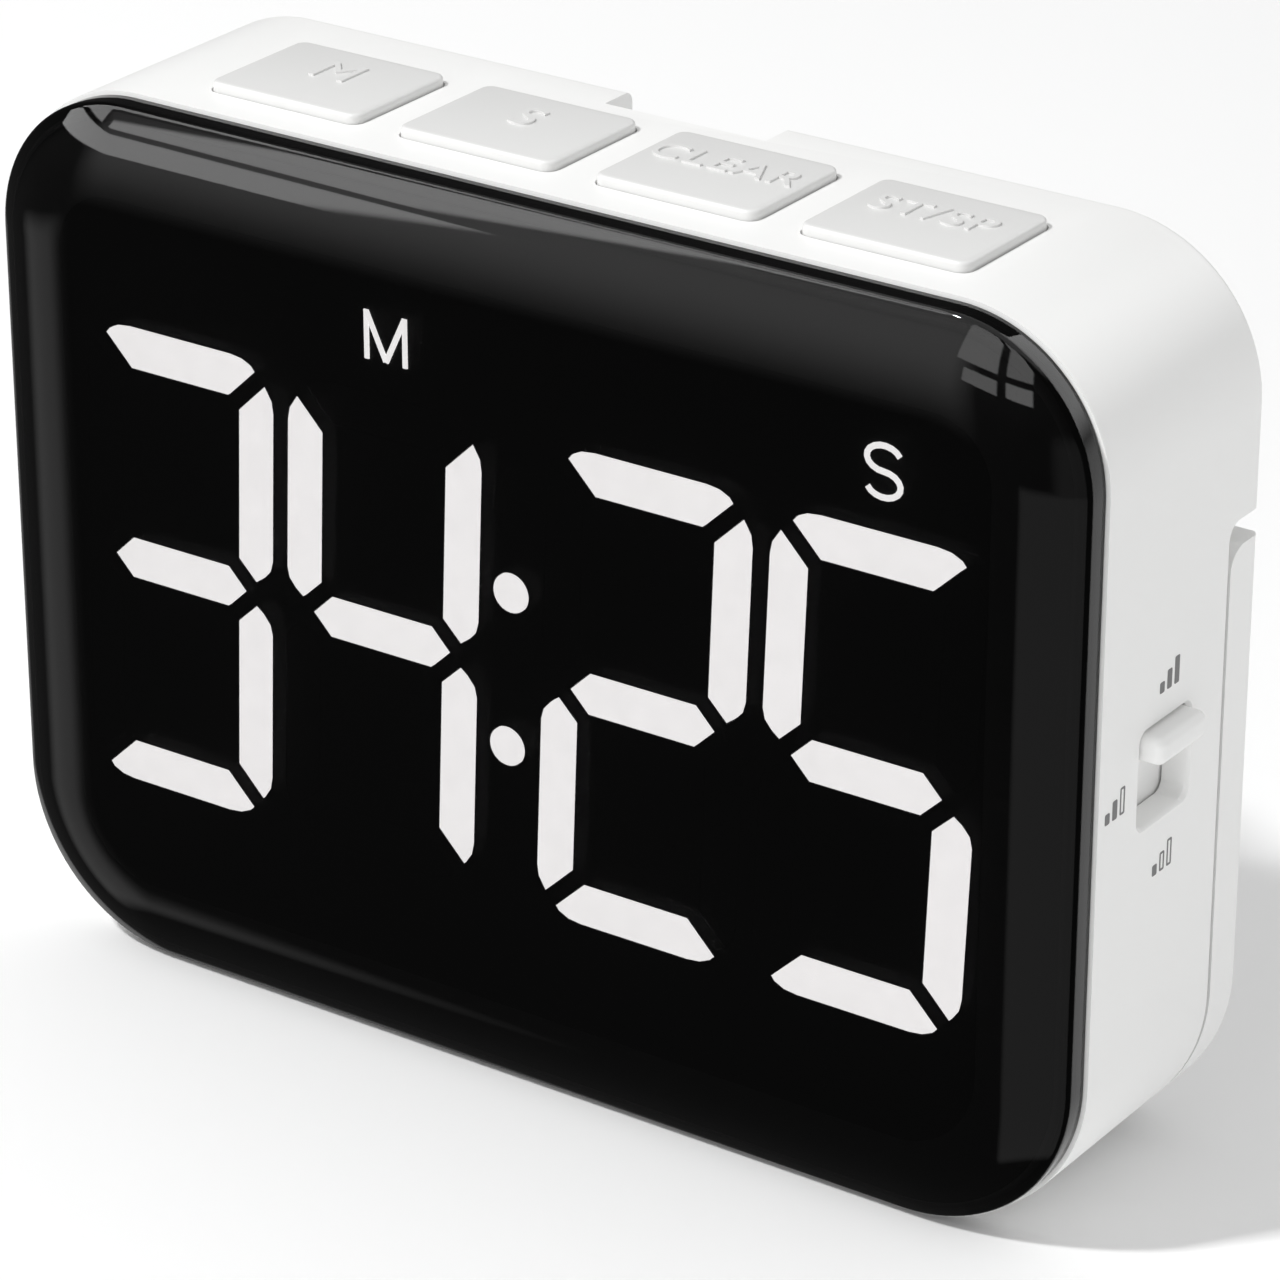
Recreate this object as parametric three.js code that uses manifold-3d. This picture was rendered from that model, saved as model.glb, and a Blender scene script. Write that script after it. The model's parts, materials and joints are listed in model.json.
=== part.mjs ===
// Magnetic digital countdown timer with a large LED display, millimetres, +Z up.
// The front faces -Y, and the origin is on the flat base, under the middle of the casing.

import * as THREE from 'three';
import { mergeVertices } from 'three/addons/utils/BufferGeometryUtils.js';
import Module from 'manifold-3d';

const wasm = await Module();
wasm.setup();

// ---------- driving dimensions ----------
const WIDTH = 90;
const HEIGHT = 66.7;
const DEPTH = 24.5;
const FRONT_Y = -DEPTH / 2;
const BACK_Y = DEPTH / 2;
const TOP_CORNER_R = 11.4;
const BASE_CORNER_R = 13;
const ARC_STEPS = 8;
const ROUND = 24;

// casing
const WALL = 2;
const RIM_Y = -7.9;
const LOWER_BACK_Y = 8.1;
const INNER_BACK_Y = LOWER_BACK_Y - WALL;
const BLOCK_Z = 47.9;
const BLOCK_CAVITY = { z0: 50.5, y1: 8 };
const NOTCH = { x: 1, width: 13.3, y0: 8.95, height: 12 };

// lens
const LENS_INSET = 0.3;
const LENS_BACK_Y = -8;
const CREASE_Y = -9.7;
const SHOULDER = 8;
const SHOULDER_POWER = 2.2;
const LENS_WALL = 1.5;

// display
const DISPLAY_Z = 32.6;
const DIGIT_X = [-28.8, -10.95, 11.05, 28.95];
const DIGIT_SLANT = 0.0375;
const MASK_FRONT_Y = -10.05;
const MASK_T = 0.4;
const DISPLAY_GAP = 0.1;
const LIGHT_PLATE_T = 0.6;
const HOUSING = { x: 37.8, z0: 9, z1: 58, y1: -4.6 };

// boards
const BOARD = { x: 41.5, z0: 3.5, z1: 56.5, y0: -4.4, t: 1.2 };
const KEY_BOARD = { x0: -33, x1: 35, y0: -2.8, y1: 5.9, z0: 57.6, t: 1.2 };
const SCREW_X = 39.6;
const SCREW_Z = [14, 49];
const BOSS_R = 2.6;
const SCREW_R = 0.95;

// keys
const KEY = { x: 12.9, y: 10.6, cy: 0.8, rise: 0.7, row: 1, pitch: 16.3, corner: 0.9 };
const KEY_GAP = 0.15;
const KEY_FLANGE = { over: 0.75, t: 1 };
const SWITCH_BODY = { size: 6, z0: 58.9, z1: 61.6 };
const PLUNGER = { r: 1.7, z0: 60.9, z1: 62.9 };

// side switch
const SLOT = { y0: -2.7, y1: 3.9, z0: 29.8, z1: 36.9 };
const NIB = { height: 2, out: 1.5 };
const NIB_Z = SLOT.z1 - 0.15 - NIB.height / 2;
const SWITCH_TRAVEL = 4.8;

// battery bay, three AAA cells lying across
const CELL = { r: 5.2, length: 43.7, nub: 0.8, nubR: 1.9, pitch: 10.8, y: 4.3, x: -0.25 };
const BAY = { x: 25.3, z0: 6.4, z1: 39.6, y0: -1, y1: 10.4, wall: 1.4 };
const BAY_RIM = { x: 27.9, z0: 5.6, z1: 40.8 };
const DOOR = { y0: 10.6, t: 1.4, corner: 3 };

// kickstand
const STAND = { z0: 0.3, hingeY: 10.3, hingeZ: 44 };
const STAND_R = BACK_Y - STAND.hingeY;
const WINDOW = { x: 28.6, z0: 4.2, z1: 41.7, corner: 3 };
const LUG = { x: 33.5, width: 7, r: 1.8 };
const PIN = { r: 0.8, x0: 27, x1: 41 };

// magnets
const MAGNET = { x: 26, z: 57.3, r: 6, t: 2 };

// ---------- helpers ----------
function toSolid(geometry) {
  const bare = geometry.index ? geometry.toNonIndexed() : geometry.clone();
  bare.deleteAttribute('normal');
  bare.deleteAttribute('uv');
  const merged = mergeVertices(bare, 1e-4);
  return new wasm.Manifold(new wasm.Mesh({
    numProp: 3,
    vertProperties: new Float32Array(merged.attributes.position.array),
    triVerts: new Uint32Array(merged.index.array),
  }));
}

function toGeometry(solid) {
  const mesh = solid.getMesh();
  const geometry = new THREE.BufferGeometry();
  geometry.setAttribute('position', new THREE.BufferAttribute(new Float32Array(mesh.vertProperties), 3));
  geometry.setIndex(new THREE.BufferAttribute(new Uint32Array(mesh.triVerts), 1));
  geometry.computeVertexNormals();
  return geometry;
}

function box(x0, x1, y0, y1, z0, z1) {
  const geometry = new THREE.BoxGeometry(x1 - x0, y1 - y0, z1 - z0);
  geometry.translate((x0 + x1) / 2, (y0 + y1) / 2, (z0 + z1) / 2);
  return toSolid(geometry);
}

function rodX(r, x0, x1, y, z, sides = ROUND) {
  const geometry = new THREE.CylinderGeometry(r, r, x1 - x0, sides);
  geometry.rotateZ(Math.PI / 2);
  geometry.translate((x0 + x1) / 2, y, z);
  return toSolid(geometry);
}

function rodY(r, y0, y1, x, z, sides = ROUND) {
  const geometry = new THREE.CylinderGeometry(r, r, y1 - y0, sides);
  geometry.translate(x, (y0 + y1) / 2, z);
  return toSolid(geometry);
}

function rodZ(r, z0, z1, x, y, sides = ROUND) {
  const geometry = new THREE.CylinderGeometry(r, r, z1 - z0, sides);
  geometry.rotateX(Math.PI / 2);
  geometry.translate(x, y, (z0 + z1) / 2);
  return toSolid(geometry);
}

// A shape drawn in X and Z, extruded from y0 to y1.
function slabY(shape, y0, y1, curveSteps = ARC_STEPS) {
  const geometry = new THREE.ExtrudeGeometry(shape, {
    depth: y1 - y0,
    bevelEnabled: false,
    curveSegments: curveSteps,
  });
  geometry.rotateX(Math.PI / 2);
  geometry.translate(0, y1, 0);
  return toSolid(geometry);
}

// A shape drawn in X and Y, extruded from z0 to z1.
function slabZ(shape, z0, z1, curveSteps = 4) {
  const geometry = new THREE.ExtrudeGeometry(shape, {
    depth: z1 - z0,
    bevelEnabled: false,
    curveSegments: curveSteps,
  });
  geometry.translate(0, 0, z0);
  return toSolid(geometry);
}

function roundedRect(x0, x1, z0, z1, r) {
  const shape = new THREE.Shape();
  shape.moveTo(x0 + r, z0);
  shape.lineTo(x1 - r, z0);
  shape.absarc(x1 - r, z0 + r, r, -Math.PI / 2, 0, false);
  shape.lineTo(x1, z1 - r);
  shape.absarc(x1 - r, z1 - r, r, 0, Math.PI / 2, false);
  shape.lineTo(x0 + r, z1);
  shape.absarc(x0 + r, z1 - r, r, Math.PI / 2, Math.PI, false);
  shape.lineTo(x0, z0 + r);
  shape.absarc(x0 + r, z0 + r, r, Math.PI, Math.PI * 1.5, false);
  return shape;
}

// The casing's outline moved inwards, as points in X and Z.
function outline(inset) {
  const half = WIDTH / 2 - inset;
  const corners = [
    { x: half, z: inset, r: BASE_CORNER_R - inset, sx: 1, sz: -1, from: -Math.PI / 2 },
    { x: half, z: HEIGHT - inset, r: TOP_CORNER_R - inset, sx: 1, sz: 1, from: 0 },
    { x: -half, z: HEIGHT - inset, r: TOP_CORNER_R - inset, sx: -1, sz: 1, from: Math.PI / 2 },
    { x: -half, z: inset, r: BASE_CORNER_R - inset, sx: -1, sz: -1, from: Math.PI },
  ];
  const points = [];
  for (const corner of corners) {
    const cx = corner.x - corner.sx * corner.r;
    const cz = corner.z - corner.sz * corner.r;
    for (let i = 0; i <= ARC_STEPS; i++) {
      const angle = corner.from + (i / ARC_STEPS) * (Math.PI / 2);
      points.push(new THREE.Vector2(cx + corner.r * Math.cos(angle), cz + corner.r * Math.sin(angle)));
    }
  }
  return points;
}

function outlineShape(inset) {
  return new THREE.Shape(outline(inset));
}

// A closed skin through rings of the casing's outline, each [inset, y], from the rear to the front.
function loft(rings) {
  const count = 4 * (ARC_STEPS + 1);
  const last = rings.length - 1;
  const points = [];
  for (const [inset, y] of rings) {
    for (const p of outline(inset)) {
      points.push(p.x, y, p.y);
    }
  }
  const rearCentre = points.length / 3;
  points.push(0, rings[0][1], HEIGHT / 2);
  points.push(0, rings[last][1], HEIGHT / 2);
  const index = [];
  for (let i = 0; i < count; i++) {
    const next = (i + 1) % count;
    for (let k = 0; k < last; k++) {
      const a = k * count + i;
      const b = k * count + next;
      index.push(a, b, a + count, b, b + count, a + count);
    }
    index.push(rearCentre, next, i);
    index.push(rearCentre + 1, last * count + i, last * count + next);
  }
  const geometry = new THREE.BufferGeometry();
  geometry.setAttribute('position', new THREE.Float32BufferAttribute(points, 3));
  geometry.setIndex(index);
  return toSolid(geometry);
}

function material(color, roughness, metalness = 0) {
  return new THREE.MeshStandardMaterial({ color, roughness, metalness });
}

const group = new THREE.Group();
group.name = 'countdown_timer';

function part(name, solid, look) {
  const mesh = new THREE.Mesh(toGeometry(solid), look);
  mesh.name = name;
  group.add(mesh);
}

const looks = {
  whiteAbs: () => material(0xf2f2f0, 0.45),
  smokedLens: () => material(0x080809, 0.08),
  blackMask: () => material(0x050505, 0.7),
  litDiffuser: () => material(0xf4f6f8, 0.5),
  board: () => material(0x1d5b3a, 0.5),
  blackPlastic: () => material(0x151515, 0.5),
  steel: () => material(0xb9bcc0, 0.3, 1),
  nickel: () => material(0xc8c6c0, 0.2, 1),
  cell: () => material(0x8c9aa6, 0.35, 0.6),
};

// ---------- casing ----------
function hingeLugs() {
  let lugs = null;
  for (const side of [-1, 1]) {
    const x0 = side * LUG.x - LUG.width / 2;
    const x1 = side * LUG.x + LUG.width / 2;
    const boss = rodX(LUG.r, x0, x1, STAND.hingeY, STAND.hingeZ)
      .add(box(x0, x1, INNER_BACK_Y, STAND.hingeY, STAND.hingeZ - LUG.r, BLOCK_Z + 1))
      .add(box(x0, x1, INNER_BACK_Y, STAND.hingeY + LUG.r, STAND.hingeZ, BLOCK_Z + 1));
    lugs = lugs ? lugs.add(boss) : boss;
  }
  return lugs;
}

function boardBosses() {
  let posts = null;
  for (const side of [-1, 1]) {
    for (const z of SCREW_Z) {
      const post = rodY(BOSS_R, BOARD.y0 + BOARD.t + 0.1, INNER_BACK_Y + 0.5, side * SCREW_X, z, 16);
      posts = posts ? posts.add(post) : post;
    }
  }
  return posts;
}

function keyCentre(i) {
  return KEY.row + (i - 1.5) * KEY.pitch;
}

function mainCase() {
  const block = slabY(outlineShape(0), LOWER_BACK_Y - 0.5, BACK_Y - 0.8)
    .add(loft([[0.8, BACK_Y], [0.25, BACK_Y - 0.25], [0, BACK_Y - 0.8]]))
    .intersect(box(-WIDTH, WIDTH, 0, BACK_Y + 1, BLOCK_Z, HEIGHT + 1));
  let body = slabY(outlineShape(0), RIM_Y, LOWER_BACK_Y)
    .add(block)
    .add(slabY(
      roundedRect(-BAY_RIM.x, BAY_RIM.x, BAY_RIM.z0, BAY_RIM.z1, DOOR.corner),
      INNER_BACK_Y, BAY.y1, 4));
  body = body.subtract(slabY(outlineShape(WALL), RIM_Y - 1, INNER_BACK_Y));
  const blockHollow = box(-38, 38, 0, BLOCK_CAVITY.y1, BLOCK_CAVITY.z0, HEIGHT - WALL);
  body = body.subtract(blockHollow.intersect(slabY(outlineShape(WALL), -1, BACK_Y)));
  const tubX = BAY.x + BAY.wall;
  body = body
    .add(box(-tubX, tubX, BAY.y0 - BAY.wall, INNER_BACK_Y + 0.5, BAY.z0 - BAY.wall, BAY.z1 + BAY.wall))
    .add(hingeLugs())
    .add(boardBosses());
  for (const x of [-31, 33]) {
    body = body.add(box(x - 1, x + 1, 1, BLOCK_CAVITY.y1 + 0.5, KEY_BOARD.z0 - 2.1, KEY_BOARD.z0 - 0.1));
  }
  body = body.subtract(box(-BAY.x, BAY.x, BAY.y0, BACK_Y, BAY.z0, BAY.z1));
  for (let i = 0; i < 4; i++) {
    const hole = roundedRect(
      keyCentre(i) - KEY.x / 2 - KEY_GAP, keyCentre(i) + KEY.x / 2 + KEY_GAP,
      KEY.cy - KEY.y / 2 - KEY_GAP, KEY.cy + KEY.y / 2 + KEY_GAP, KEY.corner + KEY_GAP);
    body = body.subtract(slabZ(hole, HEIGHT - WALL - 1, HEIGHT + 1));
  }
  for (const side of [-1, 1]) {
    const bore0 = side * LUG.x - LUG.width;
    const bore1 = side * LUG.x + LUG.width;
    body = body
      .subtract(rodX(PIN.r + 0.1, bore0, bore1, STAND.hingeY, STAND.hingeZ))
      .subtract(rodY(MAGNET.r + 0.15, BACK_Y - MAGNET.t - 0.3, BACK_Y + 1, side * MAGNET.x, MAGNET.z));
    for (const z of SCREW_Z) {
      body = body.subtract(rodY(SCREW_R + 0.1, BOARD.y0, 3, side * SCREW_X, z, 16));
    }
  }
  return body
    .subtract(box(WIDTH / 2 - WALL - 1, WIDTH / 2 + 1, SLOT.y0, SLOT.y1, SLOT.z0, SLOT.z1))
    .subtract(box(
      NOTCH.x - NOTCH.width / 2, NOTCH.x + NOTCH.width / 2,
      NOTCH.y0, BACK_Y + 1, HEIGHT - NOTCH.height, HEIGHT + 1));
}

// ---------- lens and display ----------
function lens() {
  const steps = 6;
  const rings = [
    [3.3, -5.5], [2.3, -5.5], [2.3, LENS_BACK_Y],
    [LENS_INSET, LENS_BACK_Y], [LENS_INSET, CREASE_Y],
  ];
  for (let i = 1; i <= steps; i++) {
    const d = i / steps;
    const rise = (CREASE_Y - FRONT_Y) * (1 - d) ** SHOULDER_POWER;
    rings.push([LENS_INSET + d * SHOULDER, FRONT_Y + rise]);
  }
  const shell = loft(rings);
  const hollow = loft([
    [3.3, -5], [3.3, -9], [5.2, -10.05], [8.5, FRONT_Y + LENS_WALL],
  ]);
  return shell.subtract(hollow);
}

// Outline points of the seven-segment digit's strokes, from the digit's middle.
const STROKE = {
  barTip: [6.58, 17.0], barOuter: [4.45, 17.85], barInner: [4.3, 14.75],
  postTop: [7.5, 16.05], postOuter: [8.25, 14.2], postInner: [5.3, 13.85],
  postLow: [5.3, 2.45], postTip: [6.85, 0.95], postLowOuter: [8.25, 2.9],
  midTip: 5.87, midShoulder: 4.33, midHalf: 1.53,
};

function barPoints(top) {
  const points = [
    [-STROKE.barTip[0], STROKE.barTip[1]], [-STROKE.barInner[0], STROKE.barInner[1]],
    [STROKE.barInner[0], STROKE.barInner[1]], [STROKE.barTip[0], STROKE.barTip[1]],
    [(STROKE.barTip[0] + STROKE.barOuter[0]) / 2 + 0.1, 17.62],
    [STROKE.barOuter[0], STROKE.barOuter[1]], [-STROKE.barOuter[0], STROKE.barOuter[1]],
    [-(STROKE.barTip[0] + STROKE.barOuter[0]) / 2 - 0.1, 17.62],
  ];
  return points.map(([x, z]) => [x, top * z]);
}

function postPoints(side, top) {
  const points = [
    STROKE.postTop, STROKE.postInner, STROKE.postLow, STROKE.postTip,
    [7.75, 1.7], STROKE.postLowOuter, STROKE.postOuter, [8.02, 15.3],
  ];
  return points.map(([x, z]) => [side * x, top * z]);
}

function middlePoints() {
  const { midTip, midShoulder, midHalf } = STROKE;
  return [
    [-midTip, 0], [-midShoulder, -midHalf], [midShoulder, -midHalf],
    [midTip, 0], [midShoulder, midHalf], [-midShoulder, midHalf],
  ];
}

function digitStrokes() {
  const strokes = [barPoints(1), barPoints(-1), middlePoints()];
  for (const side of [-1, 1]) {
    for (const top of [-1, 1]) {
      strokes.push(postPoints(side, top));
    }
  }
  return strokes;
}

// A stroke's outline at its place in the display, grown or shrunk about its own middle.
function placedStroke(points, digitX, grow) {
  let cx = 0;
  let cz = 0;
  for (const [x, z] of points) {
    cx += x / points.length;
    cz += z / points.length;
  }
  const placed = points.map(([x, z]) => {
    const gx = x + Math.sign(x - cx) * grow;
    const gz = z + Math.sign(z - cz) * grow;
    return new THREE.Vector2(digitX + gx + DIGIT_SLANT * gz, DISPLAY_Z + gz);
  });
  const shape = new THREE.Shape(placed);
  return THREE.ShapeUtils.area(placed) < 0 ? new THREE.Shape(placed.reverse()) : shape;
}

function dots(r, y0, y1) {
  const z = 5.85;
  return rodY(r, y0, y1, DIGIT_SLANT * z, DISPLAY_Z + z, 16)
    .add(rodY(r, y0, y1, -DIGIT_SLANT * z, DISPLAY_Z - z, 16));
}

const LETTER = { z0: 52.75, height: 4, stroke: 0.42, mX: -10.0, sX: 29.9 };

// Letters are drawn as bars between points, so that each is one joined solid.
function strokePath(points, half, y0, y1) {
  let solid = null;
  for (let i = 0; i < points.length - 1; i++) {
    const a = new THREE.Vector2(...points[i]);
    const b = new THREE.Vector2(...points[i + 1]);
    const along = b.clone().sub(a).normalize().multiplyScalar(half);
    const across = new THREE.Vector2(-along.y, along.x);
    const corners = [
      a.clone().sub(along).add(across), a.clone().sub(along).sub(across),
      b.clone().add(along).sub(across), b.clone().add(along).add(across),
    ];
    const bar = slabY(new THREE.Shape(corners), y0, y1);
    solid = solid ? solid.add(bar) : bar;
  }
  return solid;
}

function letterM(half, y0, y1) {
  const w = 1.65;
  const { mX: x, z0, height } = LETTER;
  const points = [
    [x - w, z0], [x - w, z0 + height], [x, z0 + 0.35], [x + w, z0 + height], [x + w, z0],
  ];
  return strokePath(points, half, y0, y1);
}

function letterS(half, y0, y1) {
  const r = 0.98;
  const { sX: x, z0 } = LETTER;
  const points = [];
  for (let i = 0; i <= 8; i++) {
    const angle = Math.PI * (0.15 + (1.35 * i) / 8);
    points.push([x + 1.3 * r * Math.cos(angle), z0 + 3 * r + r * Math.sin(angle)]);
  }
  for (let i = 0; i <= 8; i++) {
    const angle = Math.PI * (0.5 - (1.35 * i) / 8);
    points.push([x + 1.3 * r * Math.cos(angle), z0 + r + r * Math.sin(angle)]);
  }
  return strokePath(points, half, y0, y1);
}

const PLATE_Y0 = MASK_FRONT_Y + MASK_T + DISPLAY_GAP;
const PLATE_Y1 = PLATE_Y0 + LIGHT_PLATE_T;

function mask() {
  const back = MASK_FRONT_Y + MASK_T;
  const dish = loft([
    [4, -6.1], [3.6, -6.1], [3.6, -8.5], [4.5, -9.3], [6.6, MASK_FRONT_Y],
  ]);
  const hollow = loft([[4, -5], [4, -8.4], [4.9, -9.05], [7, back]]);
  let sheet = dish.subtract(hollow);
  for (const digitX of DIGIT_X) {
    for (const points of digitStrokes()) {
      sheet = sheet.subtract(slabY(placedStroke(points, digitX, 0.05), MASK_FRONT_Y - 1, back + 1));
    }
  }
  return sheet
    .subtract(dots(1.5, MASK_FRONT_Y - 1, back + 1))
    .subtract(letterM(LETTER.stroke + 0.05, MASK_FRONT_Y - 1, back + 1))
    .subtract(letterS(LETTER.stroke + 0.05, MASK_FRONT_Y - 1, back + 1));
}

function digitLight(digitX) {
  const z0 = DISPLAY_Z - 18.3;
  const z1 = DISPLAY_Z + 18.3;
  let plate = box(digitX - 8.8, digitX + 8.8, PLATE_Y0, PLATE_Y1, z0, z1);
  for (const points of digitStrokes()) {
    plate = plate.add(slabY(placedStroke(points, digitX, 0), MASK_FRONT_Y, PLATE_Y0 + 0.2));
  }
  return plate;
}

function colonLight() {
  const plate = box(-1.8, 1.8, PLATE_Y0, PLATE_Y1, DISPLAY_Z - 8.5, DISPLAY_Z + 8.5);
  return plate.add(dots(1.45, MASK_FRONT_Y, PLATE_Y0 + 0.2));
}

function letterLight(letter, x) {
  const plate = box(x - 3, x + 3, PLATE_Y0, PLATE_Y1, LETTER.z0 - 0.9, LETTER.z0 + 5);
  return plate.add(letter(LETTER.stroke, MASK_FRONT_Y, PLATE_Y0 + 0.2));
}

function displayHousing() {
  const y0 = PLATE_Y1 + DISPLAY_GAP;
  let block = box(-HOUSING.x, HOUSING.x, y0, HOUSING.y1, HOUSING.z0, HOUSING.z1);
  for (const digitX of DIGIT_X) {
    for (const points of digitStrokes()) {
      block = block.subtract(slabY(placedStroke(points, digitX, -0.2), y0 - 1, HOUSING.y1 + 1));
    }
  }
  return block
    .subtract(dots(1.2, y0 - 1, HOUSING.y1 + 1))
    .subtract(box(LETTER.mX - 2, LETTER.mX + 2, y0 - 1, HOUSING.y1 + 1, 53, 57))
    .subtract(box(LETTER.sX - 1.6, LETTER.sX + 1.6, y0 - 1, HOUSING.y1 + 1, 53, 57));
}

// ---------- boards and what is soldered to them ----------
function mainBoard() {
  let board = slabY(roundedRect(-BOARD.x, BOARD.x, BOARD.z0, BOARD.z1, 9.4), BOARD.y0, BOARD.y0 + BOARD.t);
  for (const side of [-1, 1]) {
    for (const z of SCREW_Z) {
      const hole = rodY(SCREW_R + 0.15, BOARD.y0 - 1, BOARD.y0 + BOARD.t + 1, side * SCREW_X, z, 16);
      board = board.subtract(hole);
    }
  }
  return board;
}

function boardScrew(side, z) {
  const headY = BOARD.y0 - 0.1;
  return rodY(1.7, headY - 1.2, headY, side * SCREW_X, z, 16)
    .add(rodY(SCREW_R, headY - 0.5, 2.8, side * SCREW_X, z, 12))
    .subtract(box(side * SCREW_X - 1.1, side * SCREW_X + 1.1, headY - 2, headY - 0.7, z - 0.22, z + 0.22))
    .subtract(box(side * SCREW_X - 0.22, side * SCREW_X + 0.22, headY - 2, headY - 0.7, z - 1.1, z + 1.1));
}

const BOARD_BACK = BOARD.y0 + BOARD.t + 0.1;

function processorChip() {
  return box(31, 36, BOARD_BACK, BOARD_BACK + 1.6, 17, 24);
}

function buzzer() {
  return rodY(6, BOARD_BACK, BOARD_BACK + 6.5, -35, 31)
    .subtract(rodY(1.2, BOARD_BACK + 5.5, BOARD_BACK + 8, -35, 31, 12));
}

function slideSwitchBody() {
  return box(33.5, 38.4, BOARD_BACK, 2.6, NIB_Z - SWITCH_TRAVEL - 2.8, NIB_Z + 2.8)
    .subtract(box(36.9, 39, -1.2, 1.6, NIB_Z - SWITCH_TRAVEL - 1.2, NIB_Z + 1.2));
}

function keyBoard() {
  const { x0, x1, y0, y1, z0, t } = KEY_BOARD;
  return box(x0, x1, y0, y1, z0, z0 + t);
}

function boardHeader() {
  return box(-12, 12, BOARD_BACK, BOARD_BACK + 2.5, KEY_BOARD.z0 - 2.6, KEY_BOARD.z0 - 0.1);
}

function tactSwitch(i) {
  const half = SWITCH_BODY.size / 2;
  const x = keyCentre(i);
  return box(x - half, x + half, KEY.cy - half, KEY.cy + half, SWITCH_BODY.z0, SWITCH_BODY.z1)
    .subtract(rodZ(PLUNGER.r + 0.2, PLUNGER.z0 - 0.6, SWITCH_BODY.z1 + 1, x, KEY.cy, 16));
}

// ---------- keys ----------
function keyCap(i) {
  const x = keyCentre(i);
  const halfX = KEY.x / 2;
  const halfY = KEY.y / 2;
  const outX = halfX + KEY_FLANGE.over;
  const outY = halfY + KEY_FLANGE.over;
  const inX = halfX - 1.2;
  const inY = halfY - 1.2;
  const flangeZ1 = HEIGHT - WALL - 0.3;
  const cap = roundedRect(x - halfX, x + halfX, KEY.cy - halfY, KEY.cy + halfY, KEY.corner);
  const flangeZ0 = flangeZ1 - KEY_FLANGE.t;
  return slabZ(cap, flangeZ1 - 0.5, HEIGHT + KEY.rise)
    .add(box(x - outX, x + outX, KEY.cy - outY, KEY.cy + outY, flangeZ0, flangeZ1))
    .add(box(x - 2, x + 2, KEY.cy - 2, KEY.cy + 2, PLUNGER.z1 + 0.1, flangeZ1))
    .subtract(box(x - inX, x - 2.6, KEY.cy - inY, KEY.cy + inY, flangeZ0 - 1, HEIGHT - 0.6))
    .subtract(box(x + 2.6, x + inX, KEY.cy - inY, KEY.cy + inY, flangeZ0 - 1, HEIGHT - 0.6));
}

function tactPlunger(i) {
  return rodZ(PLUNGER.r, PLUNGER.z0, PLUNGER.z1, keyCentre(i), KEY.cy, 16);
}

// ---------- side switch ----------
function switchKnob() {
  const inner = WIDTH / 2 - WALL;
  const nib = box(inner - 0.5, WIDTH / 2 + NIB.out, SLOT.y0 + 0.15, SLOT.y1 - 0.15,
    NIB_Z - NIB.height / 2, NIB_Z + NIB.height / 2);
  const plate = box(inner - 0.65, inner - 0.15, SLOT.y0 - 1.3, SLOT.y1 + 1.3, NIB_Z - 6.6, NIB_Z + 6.6);
  const fork = box(40.4, inner - 0.4, -2, 2.4, NIB_Z - 2.2, NIB_Z + 2.2)
    .subtract(box(40, 42.2, -1.05, 1.45, NIB_Z - 1.1, NIB_Z + 1.1));
  return plate.add(nib).add(fork);
}

function switchActuator() {
  return box(37.1, 42.0, -0.9, 1.3, NIB_Z - 0.9, NIB_Z + 0.9);
}

// ---------- cells, contacts and door ----------
function cellCentre(i) {
  return (BAY.z0 + BAY.z1) / 2 + (i - 1) * CELL.pitch;
}

function cellFacing(i) {
  return i === 1 ? -1 : 1;
}

function cell(i) {
  const half = CELL.length / 2;
  const r = CELL.r;
  const profile = [
    [0, -half], [r - 0.8, -half], [r, -half + 0.8], [r, half - 0.8], [r - 0.8, half],
    [CELL.nubR, half], [CELL.nubR, half + CELL.nub], [0, half + CELL.nub],
  ].map(([x, y]) => new THREE.Vector2(x, y));
  const geometry = new THREE.LatheGeometry(profile, ROUND);
  geometry.rotateZ(cellFacing(i) > 0 ? -Math.PI / 2 : Math.PI / 2);
  geometry.translate(cellFacing(i) * CELL.x, CELL.y, cellCentre(i));
  return toSolid(geometry);
}

class CoilCurve extends THREE.Curve {
  constructor(turns, r0, r1, length) {
    super();
    Object.assign(this, { turns, r0, r1, length });
  }

  getPoint(t, target = new THREE.Vector3()) {
    const angle = t * this.turns * Math.PI * 2;
    const r = this.r0 + (this.r1 - this.r0) * t;
    return target.set(this.length * t, r * Math.cos(angle), r * Math.sin(angle));
  }
}

// The sprung contact at a cell's flat end: a conical coil on a plate.
function contactSpring(i) {
  const wire = new THREE.Shape();
  wire.absarc(0, 0, 0.35, 0, Math.PI * 2, false);
  const coil = new THREE.ExtrudeGeometry(wire, {
    steps: 30,
    curveSegments: 3,
    extrudePath: new CoilCurve(2.5, 3.6, 2.4, 2.3),
  });
  let spring = toSolid(coil).add(box(-0.35, 0.15, -4.4, 4.4, -4.4, 4.4));
  const plateX = BAY.x - 0.5;
  spring = cellFacing(i) > 0 ? spring.translate([-plateX, CELL.y, cellCentre(i)])
    : spring.rotate([0, 0, 180]).translate([plateX, CELL.y, cellCentre(i)]);
  return spring;
}

// The plain contact at a cell's nub end: a plate with a pressed dimple.
function contactPlate(i) {
  const side = cellFacing(i);
  const x = side * (BAY.x - 0.4);
  const tip = side * (CELL.length / 2 + CELL.nub + CELL.x + 0.15);
  return box(x - 0.25, x + 0.25, CELL.y - 4.4, CELL.y + 4.4, cellCentre(i) - 4.4, cellCentre(i) + 4.4)
    .add(rodX(2.2, Math.min(x, tip), Math.max(x, tip), CELL.y, cellCentre(i), 16));
}

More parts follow.
